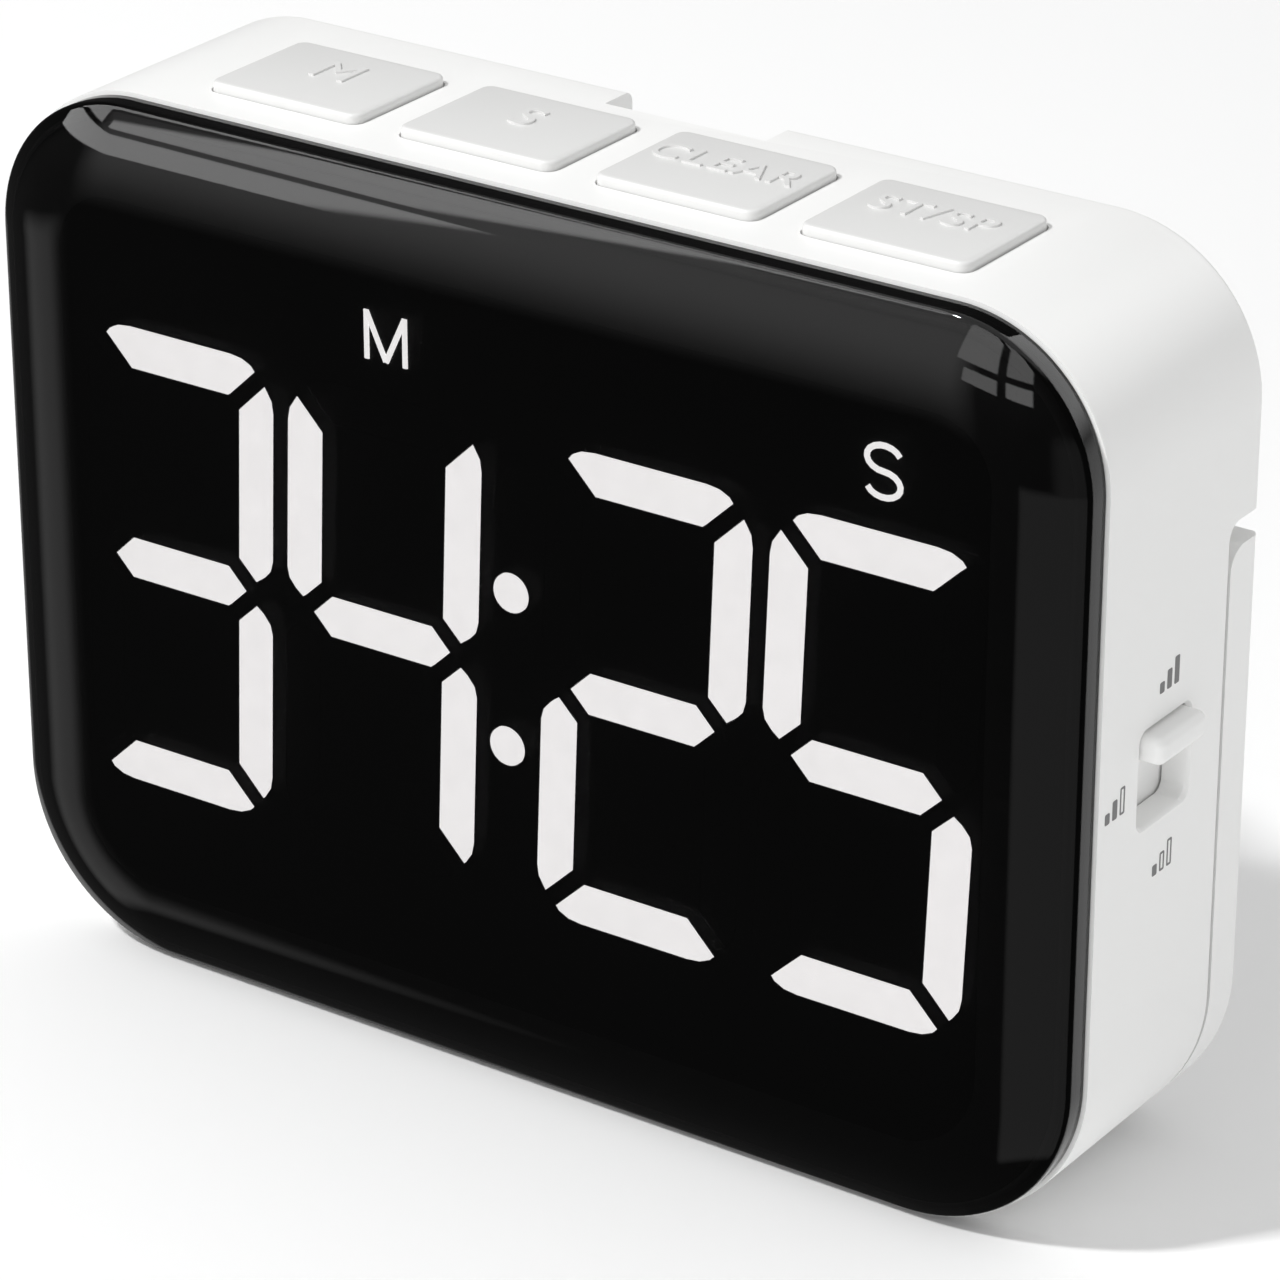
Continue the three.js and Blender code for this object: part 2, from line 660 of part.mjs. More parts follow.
function batteryDoor() {
  const plate = roundedRect(-BAY_RIM.x, BAY_RIM.x, BAY_RIM.z0, BAY_RIM.z1, DOOR.corner);
  const lip = { x: BAY.x - 0.3, z0: BAY.z0 + 0.3, z1: BAY.z1 - 0.3 };
  let door = slabY(plate, DOOR.y0, DOOR.y0 + DOOR.t, 4)
    .add(box(-lip.x, lip.x, DOOR.y0 - 0.9, DOOR.y0 + 0.2, lip.z0, lip.z1))
    .subtract(box(-lip.x + 1.2, lip.x - 1.2, DOOR.y0 - 2, DOOR.y0, lip.z0 + 1.2, lip.z1 - 1.2));
  for (let i = 0; i < 4; i++) {
    const z = BAY_RIM.z1 - 3.4 - i * 1.8;
    door = door.subtract(box(-6, 6, DOOR.y0 + DOOR.t - 0.4, DOOR.y0 + DOOR.t + 1, z - 0.45, z + 0.45));
  }
  return door;
}

// ---------- kickstand ----------
function stand() {
  const profile = rodX(STAND_R, -WIDTH / 2, WIDTH / 2, STAND.hingeY, STAND.hingeZ)
    .add(box(-WIDTH / 2, WIDTH / 2, STAND.hingeY - STAND_R, BACK_Y, STAND.z0, STAND.hingeZ));
  let frame = profile
    .intersect(slabY(outlineShape(0), 0, BACK_Y + 1))
    .subtract(slabY(roundedRect(-WINDOW.x, WINDOW.x, WINDOW.z0, WINDOW.z1, WINDOW.corner), 0, BACK_Y + 1, 4));
  for (const side of [-1, 1]) {
    const x0 = side * LUG.x - LUG.width / 2 - 0.4;
    const x1 = side * LUG.x + LUG.width / 2 + 0.4;
    const pinX = [side * PIN.x0, side * PIN.x1].sort((a, b) => a - b);
    frame = frame
      .subtract(box(x0, x1, 0, BACK_Y + 1, STAND.hingeZ - 2.8, HEIGHT))
      .subtract(rodX(PIN.r + 0.1, pinX[0] - 0.2, pinX[1] + 0.2, STAND.hingeY, STAND.hingeZ));
  }
  return frame;
}

function hingePin(side) {
  const pinX = [side * PIN.x0, side * PIN.x1].sort((a, b) => a - b);
  return rodX(PIN.r, pinX[0], pinX[1], STAND.hingeY, STAND.hingeZ);
}

function magnet(side) {
  return rodY(MAGNET.r, BACK_Y - MAGNET.t - 0.15, BACK_Y - 0.15, side * MAGNET.x, MAGNET.z);
}

// ---------- assembly ----------
part('main_case', mainCase(), looks.whiteAbs());
part('front_lens', lens(), looks.smokedLens());
part('display_mask', mask(), looks.blackMask());
DIGIT_X.forEach((x, i) => part(`digit_light_${i + 1}`, digitLight(x), looks.litDiffuser()));
part('colon_light', colonLight(), looks.litDiffuser());
part('letter_light_m', letterLight(letterM, LETTER.mX), looks.litDiffuser());
part('letter_light_s', letterLight(letterS, LETTER.sX), looks.litDiffuser());
part('display_housing', displayHousing(), looks.whiteAbs());
part('main_board', mainBoard(), looks.board());
part('processor_chip', processorChip(), looks.blackPlastic());
part('buzzer', buzzer(), looks.blackPlastic());
part('slide_switch_body', slideSwitchBody(), looks.steel());
part('key_board', keyBoard(), looks.board());
part('board_header', boardHeader(), looks.blackPlastic());
for (let i = 0; i < 4; i++) {
  part(`tact_switch_${i + 1}`, tactSwitch(i), looks.blackPlastic());
  part(`tact_plunger_${i + 1}`, tactPlunger(i), looks.blackPlastic());
  part(`key_cap_${i + 1}`, keyCap(i), looks.whiteAbs());
}
for (const side of [-1, 1]) {
  const word = side < 0 ? 'left' : 'right';
  SCREW_Z.forEach((z, k) => {
    const level = k === 0 ? 'low' : 'high';
    part(`board_screw_${word}_${level}`, boardScrew(side, z), looks.steel());
  });
  part(`magnet_${word}`, magnet(side), looks.nickel());
  part(`hinge_pin_${word}`, hingePin(side), looks.steel());
}
for (let i = 0; i < 3; i++) {
  part(`battery_${i + 1}`, cell(i), looks.cell());
  part(`contact_spring_${i + 1}`, contactSpring(i), looks.nickel());
  part(`contact_plate_${i + 1}`, contactPlate(i), looks.nickel());
}
part('battery_door', batteryDoor(), looks.whiteAbs());
part('kickstand', stand(), looks.whiteAbs());
part('switch_knob', switchKnob(), looks.whiteAbs());
part('switch_actuator', switchActuator(), looks.blackPlastic());

export default group;
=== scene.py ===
import json
import math

import bpy
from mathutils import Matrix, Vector


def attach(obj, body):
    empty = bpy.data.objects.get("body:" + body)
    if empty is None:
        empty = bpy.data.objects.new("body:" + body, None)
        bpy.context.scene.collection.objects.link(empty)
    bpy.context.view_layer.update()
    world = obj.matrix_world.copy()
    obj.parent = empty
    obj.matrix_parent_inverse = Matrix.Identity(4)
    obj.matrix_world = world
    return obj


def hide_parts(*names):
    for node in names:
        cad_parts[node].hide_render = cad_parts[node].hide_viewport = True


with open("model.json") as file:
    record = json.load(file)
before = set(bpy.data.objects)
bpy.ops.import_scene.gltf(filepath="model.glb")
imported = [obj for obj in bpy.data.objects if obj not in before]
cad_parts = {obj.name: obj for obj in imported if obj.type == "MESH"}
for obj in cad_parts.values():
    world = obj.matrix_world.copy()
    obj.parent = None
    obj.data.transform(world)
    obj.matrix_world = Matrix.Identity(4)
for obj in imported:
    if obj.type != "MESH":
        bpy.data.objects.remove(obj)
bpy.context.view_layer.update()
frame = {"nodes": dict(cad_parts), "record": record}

MM = 0.001
X, Y, Z = 0, 1, 2
SIDES = (-1, 1)

# ---------- sizes of the timer, in millimetres ----------
WIDTH = 90.0
HEIGHT = 66.7
FRONT_Y = -12.25
BACK_Y = 12.25
TOP_CORNER = 11.4
BASE_CORNER = 13.0
RIM_Y = -7.9
LOWER_BACK_Y = 8.1
WALL = 2.0
STEP_Z = 47.9
BACK_ROUND = 0.8
STEP_ROUND = 1.3
PANEL_CORNER = 3
REAR_HOLLOW = dict(x=38, y=(0, 8), z=50.5, corner=5)
SHELF = dict(x=(-31, 33), half=1, y=(1, 8.5), z=(55.5, 57.5))
# Cutters run past the casing as far as this.
PAST = dict(x=50, y=20, base=-5, top=70, front=RIM_Y - 2)

LENS_INSET = 0.3
LENS_BACK_Y = -8.0
LENS_WALL = 1.5
CREASE_Y = -9.7
CREASE_ROUND = 0.26
SHOULDER = 8.0
SHOULDER_POWER = 2.2
SHOULDER_STEPS = 24

DISPLAY_Z = 32.6
DIGIT_X = (-28.8, -10.95, 11.05, 28.95)
SLANT = 0.0375
MASK_Y = -10.05
MASK_THICK = 0.4
SHEET = dict(inset=3.6, y=(-8.5, -6.1), rise=((0.9, 0.8), (2.1, 0.75)))
GUIDE = dict(x=8.8, y=(-9.55, -8.95), z=18.3, root=0.2)
STROKE_GAP = 0.05
DOT = dict(z=5.85, r=1.45, hole=1.5)
COLON = dict(x=1.8, z=8.5)
LETTER_PLATE = dict(x=3, z=(51.85, 57.75))
LETTER_X = (-10.0, 29.9)
LETTER_Z = 54.75
LETTER_PEN = 0.45

KEY_PITCH = 16.3
KEY_ROW_X = 1.0
KEY_WIDE = 12.9
KEY_DEEP = 10.6
KEY_MID_Y = 0.8
KEY_TOP = 67.4
KEY_FOOT = 63.4
KEY_CORNER = 0.9
KEY_ROUND = 0.28
KEY_GAP = 0.15
KEY_HOLE = dict(corner=1.05, z=60)
KEY_FLANGE = dict(over=0.75, z=64.4)
KEY_STEM = dict(half=2, z=(63.0, 64))
LEGEND = dict(y=1.0, thick=0.3, letter=4.6, word=3.7, spacing=1.1)

SLOT = dict(x=(41, 44.7), y=(-2.7, 3.9), z=(29.8, 36.9), corner=0.9)
SLOT_FLARE = dict(deep=0.6, y=1.12, z=1.11)
NIB = dict(x=(42.5, 46.5), z=35.75, half=1, gap=0.2, side_round=0.7, end_round=0.65)
KNOB_PLATE = dict(x=(42.35, 42.85), over=1.3, half=6.6)
KNOB_FORK = dict(x=(40.4, 42.6), y=(-2, 2.4), half=2.2)
FORK_GAP = dict(x=(40, 42.2), y=(-1.05, 1.45), half=1.1)
LEVEL_SIGNS = ((0.9, 40.0, 3), (-5.7, 33.1, 2), (0.9, 26.6, 1))
INK_X = (44.96, 45.02)
INK_CUT_X = (44.9, 45.1)
BAR = dict(first=-1.35, pitch=0.95, wide=0.6, foot=1, short=0.8, rise=0.6, round=0.12, line=0.15)

HINGE_Y = 10.3
HINGE_Z = 44.0
LUG = dict(x=33.5, half=3.5, y=6.1, reach=1.8, round=1.75)
LUG_GAP = dict(half=3.9, z=2.8, top=60)
PIN_BORE = dict(r=0.9, in_lug=8, x=(26.8, 41.2))
BOSS = dict(x=39.6, z=(14, 49), r=2.6, y=(-3.1, 6.6))
SCREW_BORE = dict(r=1.05, y=(-4.4, 3))
NOTCH = dict(x=(-5.65, 7.65), y=8.95, z=54.7, back=16, round=0.5)

STAND_Y = 8.5
STAND_KEPT = dict(x=60, z=0.3)
STAND_ROUND = 0.7
STAND_EDGE = dict(above=1.95, round=1.75)
WINDOW = dict(x=28.6, z=(4.2, 41.7), round=0.35)

BAY = dict(x=25.3, y=(-1, 15), z=(6.4, 39.6))
BAY_TUB = dict(wall=1.4, y=(-2.4, 6.6))
BAY_RIM = dict(x=27.9, y=(6.1, 10.4), z=(5.6, 40.8))
DOOR = dict(y=(10.6, 12.0), round=0.3)
DOOR_LIP = dict(gap=0.3, wall=1.5, y=(9.7, 10.8), inside=8)
DOOR_RIB = dict(count=4, top=3.4, pitch=1.8, x=6, y=(11.6, 13), half=0.45, round=0.4)

MAGNET = dict(x=26.0, z=57.3, r=6.0, y=(10.1, 12.1), edge=0.3)
MAGNET_POCKET = dict(r=6.15, y=(9.95, 14))

CELL_Y = 4.3
CELL_Z = (12.2, 23.0, 33.8)
CELL = dict(r=5.2, half=21.85, edge=0.6, shift=0.25, bare=4.1)
CELL_CAP = dict(ring=0.9, groove=0.2, sink=0.25, step=1.6, tall=1.05, above=0.8, edge=0.3)
CELL_BASE_SINK = 0.15
STRIP = dict(half=4.3, thick=0.15, corner=1.2, sprung_x=25.0, plain_x=24.95)
SPRING = dict(x=24.55, deep=2.0, r=3.5, taper=1.3, turns=3.0, steps=72, wire=0.7)
DIMPLE = dict(r=2.1, x=(22.7, 24.85), round=0.6)


# ---------- modelling helpers ----------
def alone(obj):
    """Selects one piece and nothing else."""
    bpy.ops.object.select_all(action="DESELECT")
    bpy.context.view_layer.objects.active = obj
    obj.select_set(True)


def edit(obj):
    """Opens a piece for editing, alone."""
    alone(obj)
    bpy.ops.object.mode_set(mode="EDIT")


def done():
    bpy.ops.object.mode_set(mode="OBJECT")


def pick(kind, test):
    """Selects the faces or edges of the open piece whose place, in millimetres, passes the test."""
    bpy.ops.mesh.select_mode(type=kind)
    bpy.ops.mesh.select_all(action="DESELECT")
    bpy.ops.object.mode_set(mode="OBJECT")
    mesh = bpy.context.object.data
    if kind == "FACE":
        for face in mesh.polygons:
            face.select = test(face.center / MM, face.normal)
    else:
        for edge in mesh.edges:
            a, b = (mesh.vertices[i].co / MM for i in edge.vertices)
            edge.select = test(a, b)
    bpy.ops.object.mode_set(mode="EDIT")


def near(value, target, tolerance=0.01):
    return abs(value - target) < tolerance


def runs(axis):
    """A test for an edge that runs along one axis."""
    def test(a, b):
        step = b - a
        other = [abs(step[i]) for i in (X, Y, Z) if i != axis]
        return abs(step[axis]) > 1e-4 and max(other) < 1e-3
    return test


def lies_at(axis, place, tolerance=0.01):
    """A test for an edge with both ends at one place along an axis."""
    return lambda a, b: near(a[axis], place, tolerance) and near(b[axis], place, tolerance)


def both(*tests):
    """A test that is passed when all of the given tests are."""
    return lambda a, b: all(test(a, b) for test in tests)


def extrude(x=0.0, y=0.0, z=0.0):
    shift = (x * MM, y * MM, z * MM)
    bpy.ops.mesh.extrude_region_move(TRANSFORM_OT_translate={"value": shift})


def inset(thickness, depth=0.0):
    bpy.ops.mesh.inset(thickness=thickness * MM, depth=depth * MM, use_even_offset=True)


def bevel(width, segments):
    bpy.ops.mesh.bevel(offset=width * MM, offset_type="OFFSET", segments=segments, affect="EDGES")


def round_edges(obj, test, width, segments=4):
    """Rounds the edges of a piece that pass the test."""
    edit(obj)
    pick("EDGE", test)
    bevel(width, segments)
    done()
    return obj


def settle(obj):
    """Puts a piece's place into its mesh, and its object at the origin."""
    alone(obj)
    bpy.ops.object.transform_apply(location=True, rotation=True, scale=True)


def block(name, x0, x1, y0, y1, z0, z1):
    """A box between its corners, to be shaped further."""
    bpy.ops.object.select_all(action="DESELECT")
    bpy.ops.mesh.primitive_cube_add(
        size=1,
        location=((x0 + x1) / 2 * MM, (y0 + y1) / 2 * MM, (z0 + z1) / 2 * MM),
    )
    obj = bpy.context.object
    obj.name = name
    obj.scale = ((x1 - x0) * MM, (y1 - y0) * MM, (z1 - z0) * MM)
    settle(obj)
    return obj


def disc(name, radius, start, end, axis, at, sides):
    """A round bar along an axis from start to end; at is its place across the other two axes."""
    place = list(at)
    place.insert(axis, (start + end) / 2)
    turns = {X: (0, math.pi / 2, 0), Y: (math.pi / 2, 0, 0), Z: (0, 0, 0)}
    bpy.ops.object.select_all(action="DESELECT")
    bpy.ops.mesh.primitive_cylinder_add(
        vertices=sides,
        radius=radius * MM,
        depth=(end - start) * MM,
        location=[p * MM for p in place],
        rotation=turns[axis],
    )
    obj = bpy.context.object
    obj.name = name
    settle(obj)
    return obj


def rounded_block(name, x0, x1, y0, y1, z0, z1, radius, axis, segments=10):
    """A block whose edges along one axis are rounded."""
    return round_edges(block(name, x0, x1, y0, y1, z0, z1), runs(axis), radius, segments)


def casing_block(name, inwards, y0, y1, segments=24):
    """A block in the casing's rounded outline, moved in all round."""
    half = WIDTH / 2 - inwards
    top = HEIGHT - inwards
    obj = block(name, -half, half, y0, y1, inwards, top)
    low = both(runs(Y), lambda a, b: a.z < HEIGHT / 2)
    high = both(runs(Y), lies_at(Z, top),
                lambda a, b: near(abs(a.x), half) and near(abs(b.x), half))
    round_edges(obj, low, BASE_CORNER - inwards, segments)
    return round_edges(obj, high, TOP_CORNER - inwards, segments)


def combine(obj, tools, how):
    """Joins, cuts or keeps the overlap of a piece with others, which are used up."""
    for tool in tools:
        modifier = obj.modifiers.new("shape", "BOOLEAN")
        modifier.operation = how
        modifier.solver = "EXACT"
        modifier.material_mode = "TRANSFER"
        modifier.object = tool
        alone(obj)
        bpy.ops.object.modifier_apply(modifier=modifier.name)
        bpy.data.objects.remove(tool)
    return obj


def open_back(obj, y):
    """Takes away the face that looks to the rear at y."""
    edit(obj)
    pick("FACE", lambda centre, normal: near(centre.y, y) and normal.y > 0.9)
    bpy.ops.mesh.delete(type="FACE")
    done()


def thicken(obj, wall, even=False, inner=0):
    """Gives an open skin a wall inwards; inner is the number of the material inside it."""
    modifier = obj.modifiers.new("wall", "SOLIDIFY")
    modifier.thickness = wall * MM
    modifier.offset = -1
    modifier.use_even_offset = even
    modifier.material_offset = inner
    modifier.material_offset_rim = inner
    bpy.context.view_layer.objects.active = obj
    bpy.ops.object.modifier_apply(modifier=modifier.name)


def coat(obj, number, test):
    """Gives the faces that pass the test the piece's material of that number."""
    edit(obj)
    pick("FACE", test)
    obj.active_material_index = number
    bpy.ops.object.material_slot_assign()
    done()


def copy_of(obj, name, x=0.0, y=0.0, z=0.0):
    """A copy with its own mesh, moved into place."""
    twin = obj.copy()
    twin.data = obj.data.copy()
    twin.name = name
    bpy.context.scene.collection.objects.link(twin)
    twin.location = (x * MM, y * MM, z * MM)
    settle(twin)
    return twin


def join(name, objs):
    bpy.ops.object.select_all(action="DESELECT")
    for obj in objs:
        obj.select_set(True)
    bpy.context.view_layer.objects.active = objs[0]
    bpy.ops.object.join()
    objs[0].name = name
    return objs[0]


def weld(obj, reach=0.001):
    """Merges doubled corners and turns every face outwards."""
    edit(obj)
    bpy.ops.mesh.select_all(action="SELECT")
    bpy.ops.mesh.remove_doubles(threshold=reach * MM)
    bpy.ops.mesh.normals_make_consistent(inside=False)
    done()


def finish_piece(obj, body, nodes, material, smooth_angle=35):
    """Shades a piece, gives it its material, puts it on its body and hides the parts that it stands
    for.
    """
    alone(obj)
    bpy.ops.object.shade_smooth_by_angle(angle=math.radians(smooth_angle))
    if material is not None:
        obj.data.materials.clear()
        obj.data.materials.append(material)
    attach(obj, body)
    if nodes:
        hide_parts(*nodes)
    return obj


# ---------- material helpers ----------
def srgb(code):
    """An sRGB hex colour as the linear values a shader takes."""
    values = [int(code[i:i + 2], 16) / 255 for i in (1, 3, 5)]
    return (*[v / 12.92 if v <= 0.04045 else ((v + 0.055) / 1.055) ** 2.4 for v in values], 1.0)


def new_material(name):
    material = bpy.data.materials.new(name)
    material.use_nodes = True
    return material, material.node_tree, material.node_tree.nodes["Principled BSDF"]


def add(tree, kind, settings=None, **links):
    """Adds a node; settings set its properties or sockets, and links join its inputs to outputs."""
    node = tree.nodes.new(kind)
    for key, value in (settings or {}).items():
        if isinstance(key, int) or key in node.inputs:
            node.inputs[key].default_value = value
        else:
            setattr(node, key, value)
    for key, source in links.items():
        tree.links.new(source, node.inputs[key.replace("_", " ")])
    return node


def grain_of(tree, size_mm, detail):
    """Noise whose grains are about size_mm across on the piece."""
    place = add(tree, "ShaderNodeTexCoord").outputs["Object"]
    settings = {"Scale": 1000 / size_mm, "Detail": detail}
    return add(tree, "ShaderNodeTexNoise", settings, Vector=place).outputs["Fac"]


def vary(tree, source, low, high, socket):
    """Drives a socket between two values by a pattern."""
    spread = add(tree, "ShaderNodeMapRange", {"To Min": low, "To Max": high}, Value=source)
    tree.links.new(spread.outputs["Result"], socket)


def emboss(tree, source, strength, distance, shader):
    """Raises a pattern on the surface; distance is in metres."""
    bump = add(tree, "ShaderNodeBump", {"Strength": strength, "Distance": distance}, Height=source)
    tree.links.new(bump.outputs["Normal"], shader.inputs["Normal"])


# Moulded ABS: a fine spark-eroded mould skin gives a soft satin gloss, and slight sinking a very
# faint unevenness of tone.
def moulded_abs(name, colour, roughness):
    material, tree, shader = new_material(name)
    grain = grain_of(tree, 0.35, 3.0)
    tint = add(tree, "ShaderNodeMix", {
        "data_type": "RGBA", "blend_type": "MULTIPLY", 0: 1.0, 6: srgb(colour),
    })
    vary(tree, grain_of(tree, 22, 2.0), 0.985, 1.0, tint.inputs[7])
    tree.links.new(tint.outputs[2], shader.inputs["Base Color"])
    vary(tree, grain, roughness - 0.03, roughness + 0.05, shader.inputs["Roughness"])
    emboss(tree, grain, 0.12, 0.00002, shader)
    shader.inputs["IOR"].default_value = 1.53
    return material


# Smoked acrylic: injection moulded and polished, a glass-smooth face that lets only a part of the
# light through.
def smoked_acrylic(name, colour):
    material, tree, shader = new_material(name)
    emboss(tree, grain_of(tree, 45, 1.0), 0.01, 0.00005, shader)
    shader.inputs["Base Color"].default_value = srgb(colour)
    shader.inputs["Transmission Weight"].default_value = 1.0
    shader.inputs["Roughness"].default_value = 0.02
    shader.inputs["IOR"].default_value = 1.49
    return material


# Screen-printed ink: a thin matt layer that swallows light, with the print's fine unevenness.
def printed_ink(name, colour, roughness):
    material, tree, shader = new_material(name)
    vary(tree, grain_of(tree, 0.4, 2.0), roughness - 0.05, roughness + 0.08,
         shader.inputs["Roughness"])
    shader.inputs["Base Color"].default_value = srgb(colour)
    return material


# Opal polycarbonate: a milky light guide. Lit, it glows almost evenly; unlit, it is dark.
def opal_guide(name, colour, strength=0.0):
    material, tree, shader = new_material(name)
    milk = grain_of(tree, 1.6, 3.0)
    if strength:
        vary(tree, milk, strength * 0.95, strength * 1.05, shader.inputs["Emission Strength"])
        shader.inputs["Emission Color"].default_value = srgb("#FFFFFF")
    vary(tree, milk, 0.45, 0.6, shader.inputs["Roughness"])
    shader.inputs["Base Color"].default_value = srgb(colour)
    return material


# Plated metal: bright, with fine tumbling marks that break up the reflection.
def plated(name, colour, roughness):
    material, tree, shader = new_material(name)
    marks = grain_of(tree, 0.25, 4.0)
    vary(tree, marks, roughness - 0.06, roughness + 0.08, shader.inputs["Roughness"])
    emboss(tree, marks, 0.1, 0.00001, shader)
    shader.inputs["Base Color"].default_value = srgb(colour)
    shader.inputs["Metallic"].default_value = 1.0
    return material


# Circuit board: green solder mask over a woven glass core and copper areas, whose borders show as
# slightly raised lines.
def solder_mask(name):
    material, tree, shader = new_material(name)
    runs_of_copper = add(tree, "ShaderNodeTexBrick", {
        "Scale": 1000 / 4, "Color1": srgb("#1E6A42"), "Color2": srgb("#195A38"),
        "Mortar": srgb("#2C8252"), "Mortar Size": 0.03,
    }, Vector=add(tree, "ShaderNodeTexCoord").outputs["Object"])
    vary(tree, grain_of(tree, 0.5, 2.0), 0.25, 0.4, shader.inputs["Roughness"])
    emboss(tree, runs_of_copper.outputs["Fac"], 0.15, 0.00003, shader)
    tree.links.new(runs_of_copper.outputs["Color"], shader.inputs["Base Color"])
    return material


# Shrink sleeve on a cell: coloured film with a metallic ink, very slightly crinkled.
def cell_sleeve(name, colour):
    material, tree, shader = new_material(name)
    crinkle = grain_of(tree, 1.2, 3.0)
    vary(tree, crinkle, 0.22, 0.34, shader.inputs["Roughness"])
    emboss(tree, crinkle, 0.08, 0.00003, shader)
    shader.inputs["Base Color"].default_value = srgb(colour)
    shader.inputs["Metallic"].default_value = 0.35
    return material


WHITE_ABS = moulded_abs("white_abs_casing_moulded", "#F7F7F6", 0.42)
KEY_ABS = moulded_abs("white_abs_key_moulded", "#E0E0DF", 0.38)
REFLECTOR_ABS = moulded_abs("white_abs_reflector_moulded", "#E6E6E2", 0.5)
BLACK_NYLON = moulded_abs("black_nylon_component_moulded", "#161617", 0.5)
LENS_ACRYLIC = smoked_acrylic("smoked_acrylic_polished", "#5E5D5D")
MASK_INK = printed_ink("matt_black_ink", "#060606", 0.75)
BORDER_INK = printed_ink("black_back_printed_border", "#050505", 0.5)
MARK_INK = printed_ink("grey_pad_printed_ink", "#7C7C7C", 0.6)
LIT_OPAL = opal_guide("opal_polycarbonate_lit", "#B8BCC0", 8.0)
DARK_OPAL = opal_guide("opal_polycarbonate_unlit", "#0A0A0B")
NICKEL = plated("nickel_plate_bright", "#CBC7BE", 0.22)
ZINC = plated("zinc_plated_steel_tumbled", "#B4B6BA", 0.34)
TIN = plated("tinned_steel_can", "#BDBDBE", 0.3)
BOARD_GREEN = solder_mask("solder_mask_green")
CELL_FILM = cell_sleeve("cell_sleeve_printed_film", "#3E5568")

bpy.ops.object.select_all(action="DESELECT")


# ---------- casing ----------
def key_x(number):
    return KEY_ROW_X + (number - 1.5) * KEY_PITCH


def casing():
    """The white tub: a thick upper rear block, a battery bay, openings, a slot and a groove."""
    body = casing_block("main_casing", 0, RIM_Y, BACK_Y)
    round_edges(body, lies_at(Y, BACK_Y), BACK_ROUND, 5)

    step = block("step", -PAST["x"], PAST["x"], LOWER_BACK_Y, PAST["y"], PAST["base"], STEP_Z)
    round_edges(step, both(lies_at(Y, LOWER_BACK_Y), lies_at(Z, STEP_Z)), STEP_ROUND, 6)
    combine(body, [step], "DIFFERENCE")

    hollow = casing_block("hollow", WALL, PAST["front"], LOWER_BACK_Y - WALL, 16)
    rear_hollow = rounded_block("rear_hollow", -REAR_HOLLOW["x"], REAR_HOLLOW["x"],
                                *REAR_HOLLOW["y"], REAR_HOLLOW["z"], HEIGHT - WALL,
                                REAR_HOLLOW["corner"], Y)
    combine(body, [hollow, rear_hollow], "DIFFERENCE")
    combine(body, casing_solids(), "UNION")
    combine(body, casing_cuts(), "DIFFERENCE")
    return finish_piece(body, "casing", ["main_case"], WHITE_ABS)


def casing_solids():
    """The bay's tub and rim, the hinge lugs, the screw bosses and the key board's shelves."""
    half, (low, high) = BAY["x"] + BAY_TUB["wall"], BAY["z"]
    low, high = low - BAY_TUB["wall"], high + BAY_TUB["wall"]
    solids = [
        block("bay_tub", -half, half, *BAY_TUB["y"], low, high),
        rounded_block("bay_rim", -BAY_RIM["x"], BAY_RIM["x"], *BAY_RIM["y"], *BAY_RIM["z"],
                      PANEL_CORNER, Y),
    ]
    lug_foot = HINGE_Z - LUG["reach"]
    for side in SIDES:
        middle = side * LUG["x"]
        lug = block("lug", middle - LUG["half"], middle + LUG["half"], LUG["y"],
                    HINGE_Y + LUG["reach"], lug_foot, STEP_Z + 1)
        rear_foot = both(runs(X), lies_at(Z, lug_foot), lambda a, b: a.y > LOWER_BACK_Y)
        solids.append(round_edges(lug, rear_foot, LUG["round"], 8))
        for z in BOSS["z"]:
            solids.append(disc("boss", BOSS["r"], *BOSS["y"], Y, (side * BOSS["x"], z), 32))
    for x in SHELF["x"]:
        solids.append(block("shelf", x - SHELF["half"], x + SHELF["half"],
                            *SHELF["y"], *SHELF["z"]))
    return solids


def casing_cuts():
    """The bay, the key openings, the bores and pockets, the switch slot and the rear groove."""
    cuts = [block("bay", -BAY["x"], BAY["x"], *BAY["y"], *BAY["z"])]
    half, deep = KEY_WIDE / 2 + KEY_GAP, KEY_DEEP / 2 + KEY_GAP
    for number in range(4):
        x = key_x(number)
        cuts.append(rounded_block("key_hole", x - half, x + half, KEY_MID_Y - deep,
                                  KEY_MID_Y + deep, KEY_HOLE["z"], PAST["top"],
                                  KEY_HOLE["corner"], Z, 6))
    for side in SIDES:
        middle, reach = side * LUG["x"], PIN_BORE["in_lug"]
        cuts.append(disc("pin_bore", PIN_BORE["r"], middle - reach, middle + reach, X,
                         (HINGE_Y, HINGE_Z), 32))
        cuts.append(disc("magnet_pocket", MAGNET_POCKET["r"], *MAGNET_POCKET["y"], Y,
                         (side * MAGNET["x"], MAGNET["z"]), 64))
        for z in BOSS["z"]:
            cuts.append(disc("screw_bore", SCREW_BORE["r"], *SCREW_BORE["y"], Y,
                             (side * BOSS["x"], z), 24))

    slot = rounded_block("slot", *SLOT["x"], *SLOT["y"], *SLOT["z"], SLOT["corner"], X, 6)
    edit(slot)
    pick("FACE", lambda centre, normal: normal.x > 0.9)
    extrude(x=SLOT_FLARE["deep"])
    bpy.ops.transform.resize(value=(1, SLOT_FLARE["y"], SLOT_FLARE["z"]))
    done()
    cuts.append(slot)

    notch = block("notch", *NOTCH["x"], NOTCH["y"], NOTCH["back"], NOTCH["z"], PAST["top"])
    floor_edges = both(lies_at(Y, NOTCH["y"]), lambda a, b: max(a.z, b.z) < PAST["top"] - 1)
    cuts.append(round_edges(notch, floor_edges, NOTCH["round"]))
    return cuts


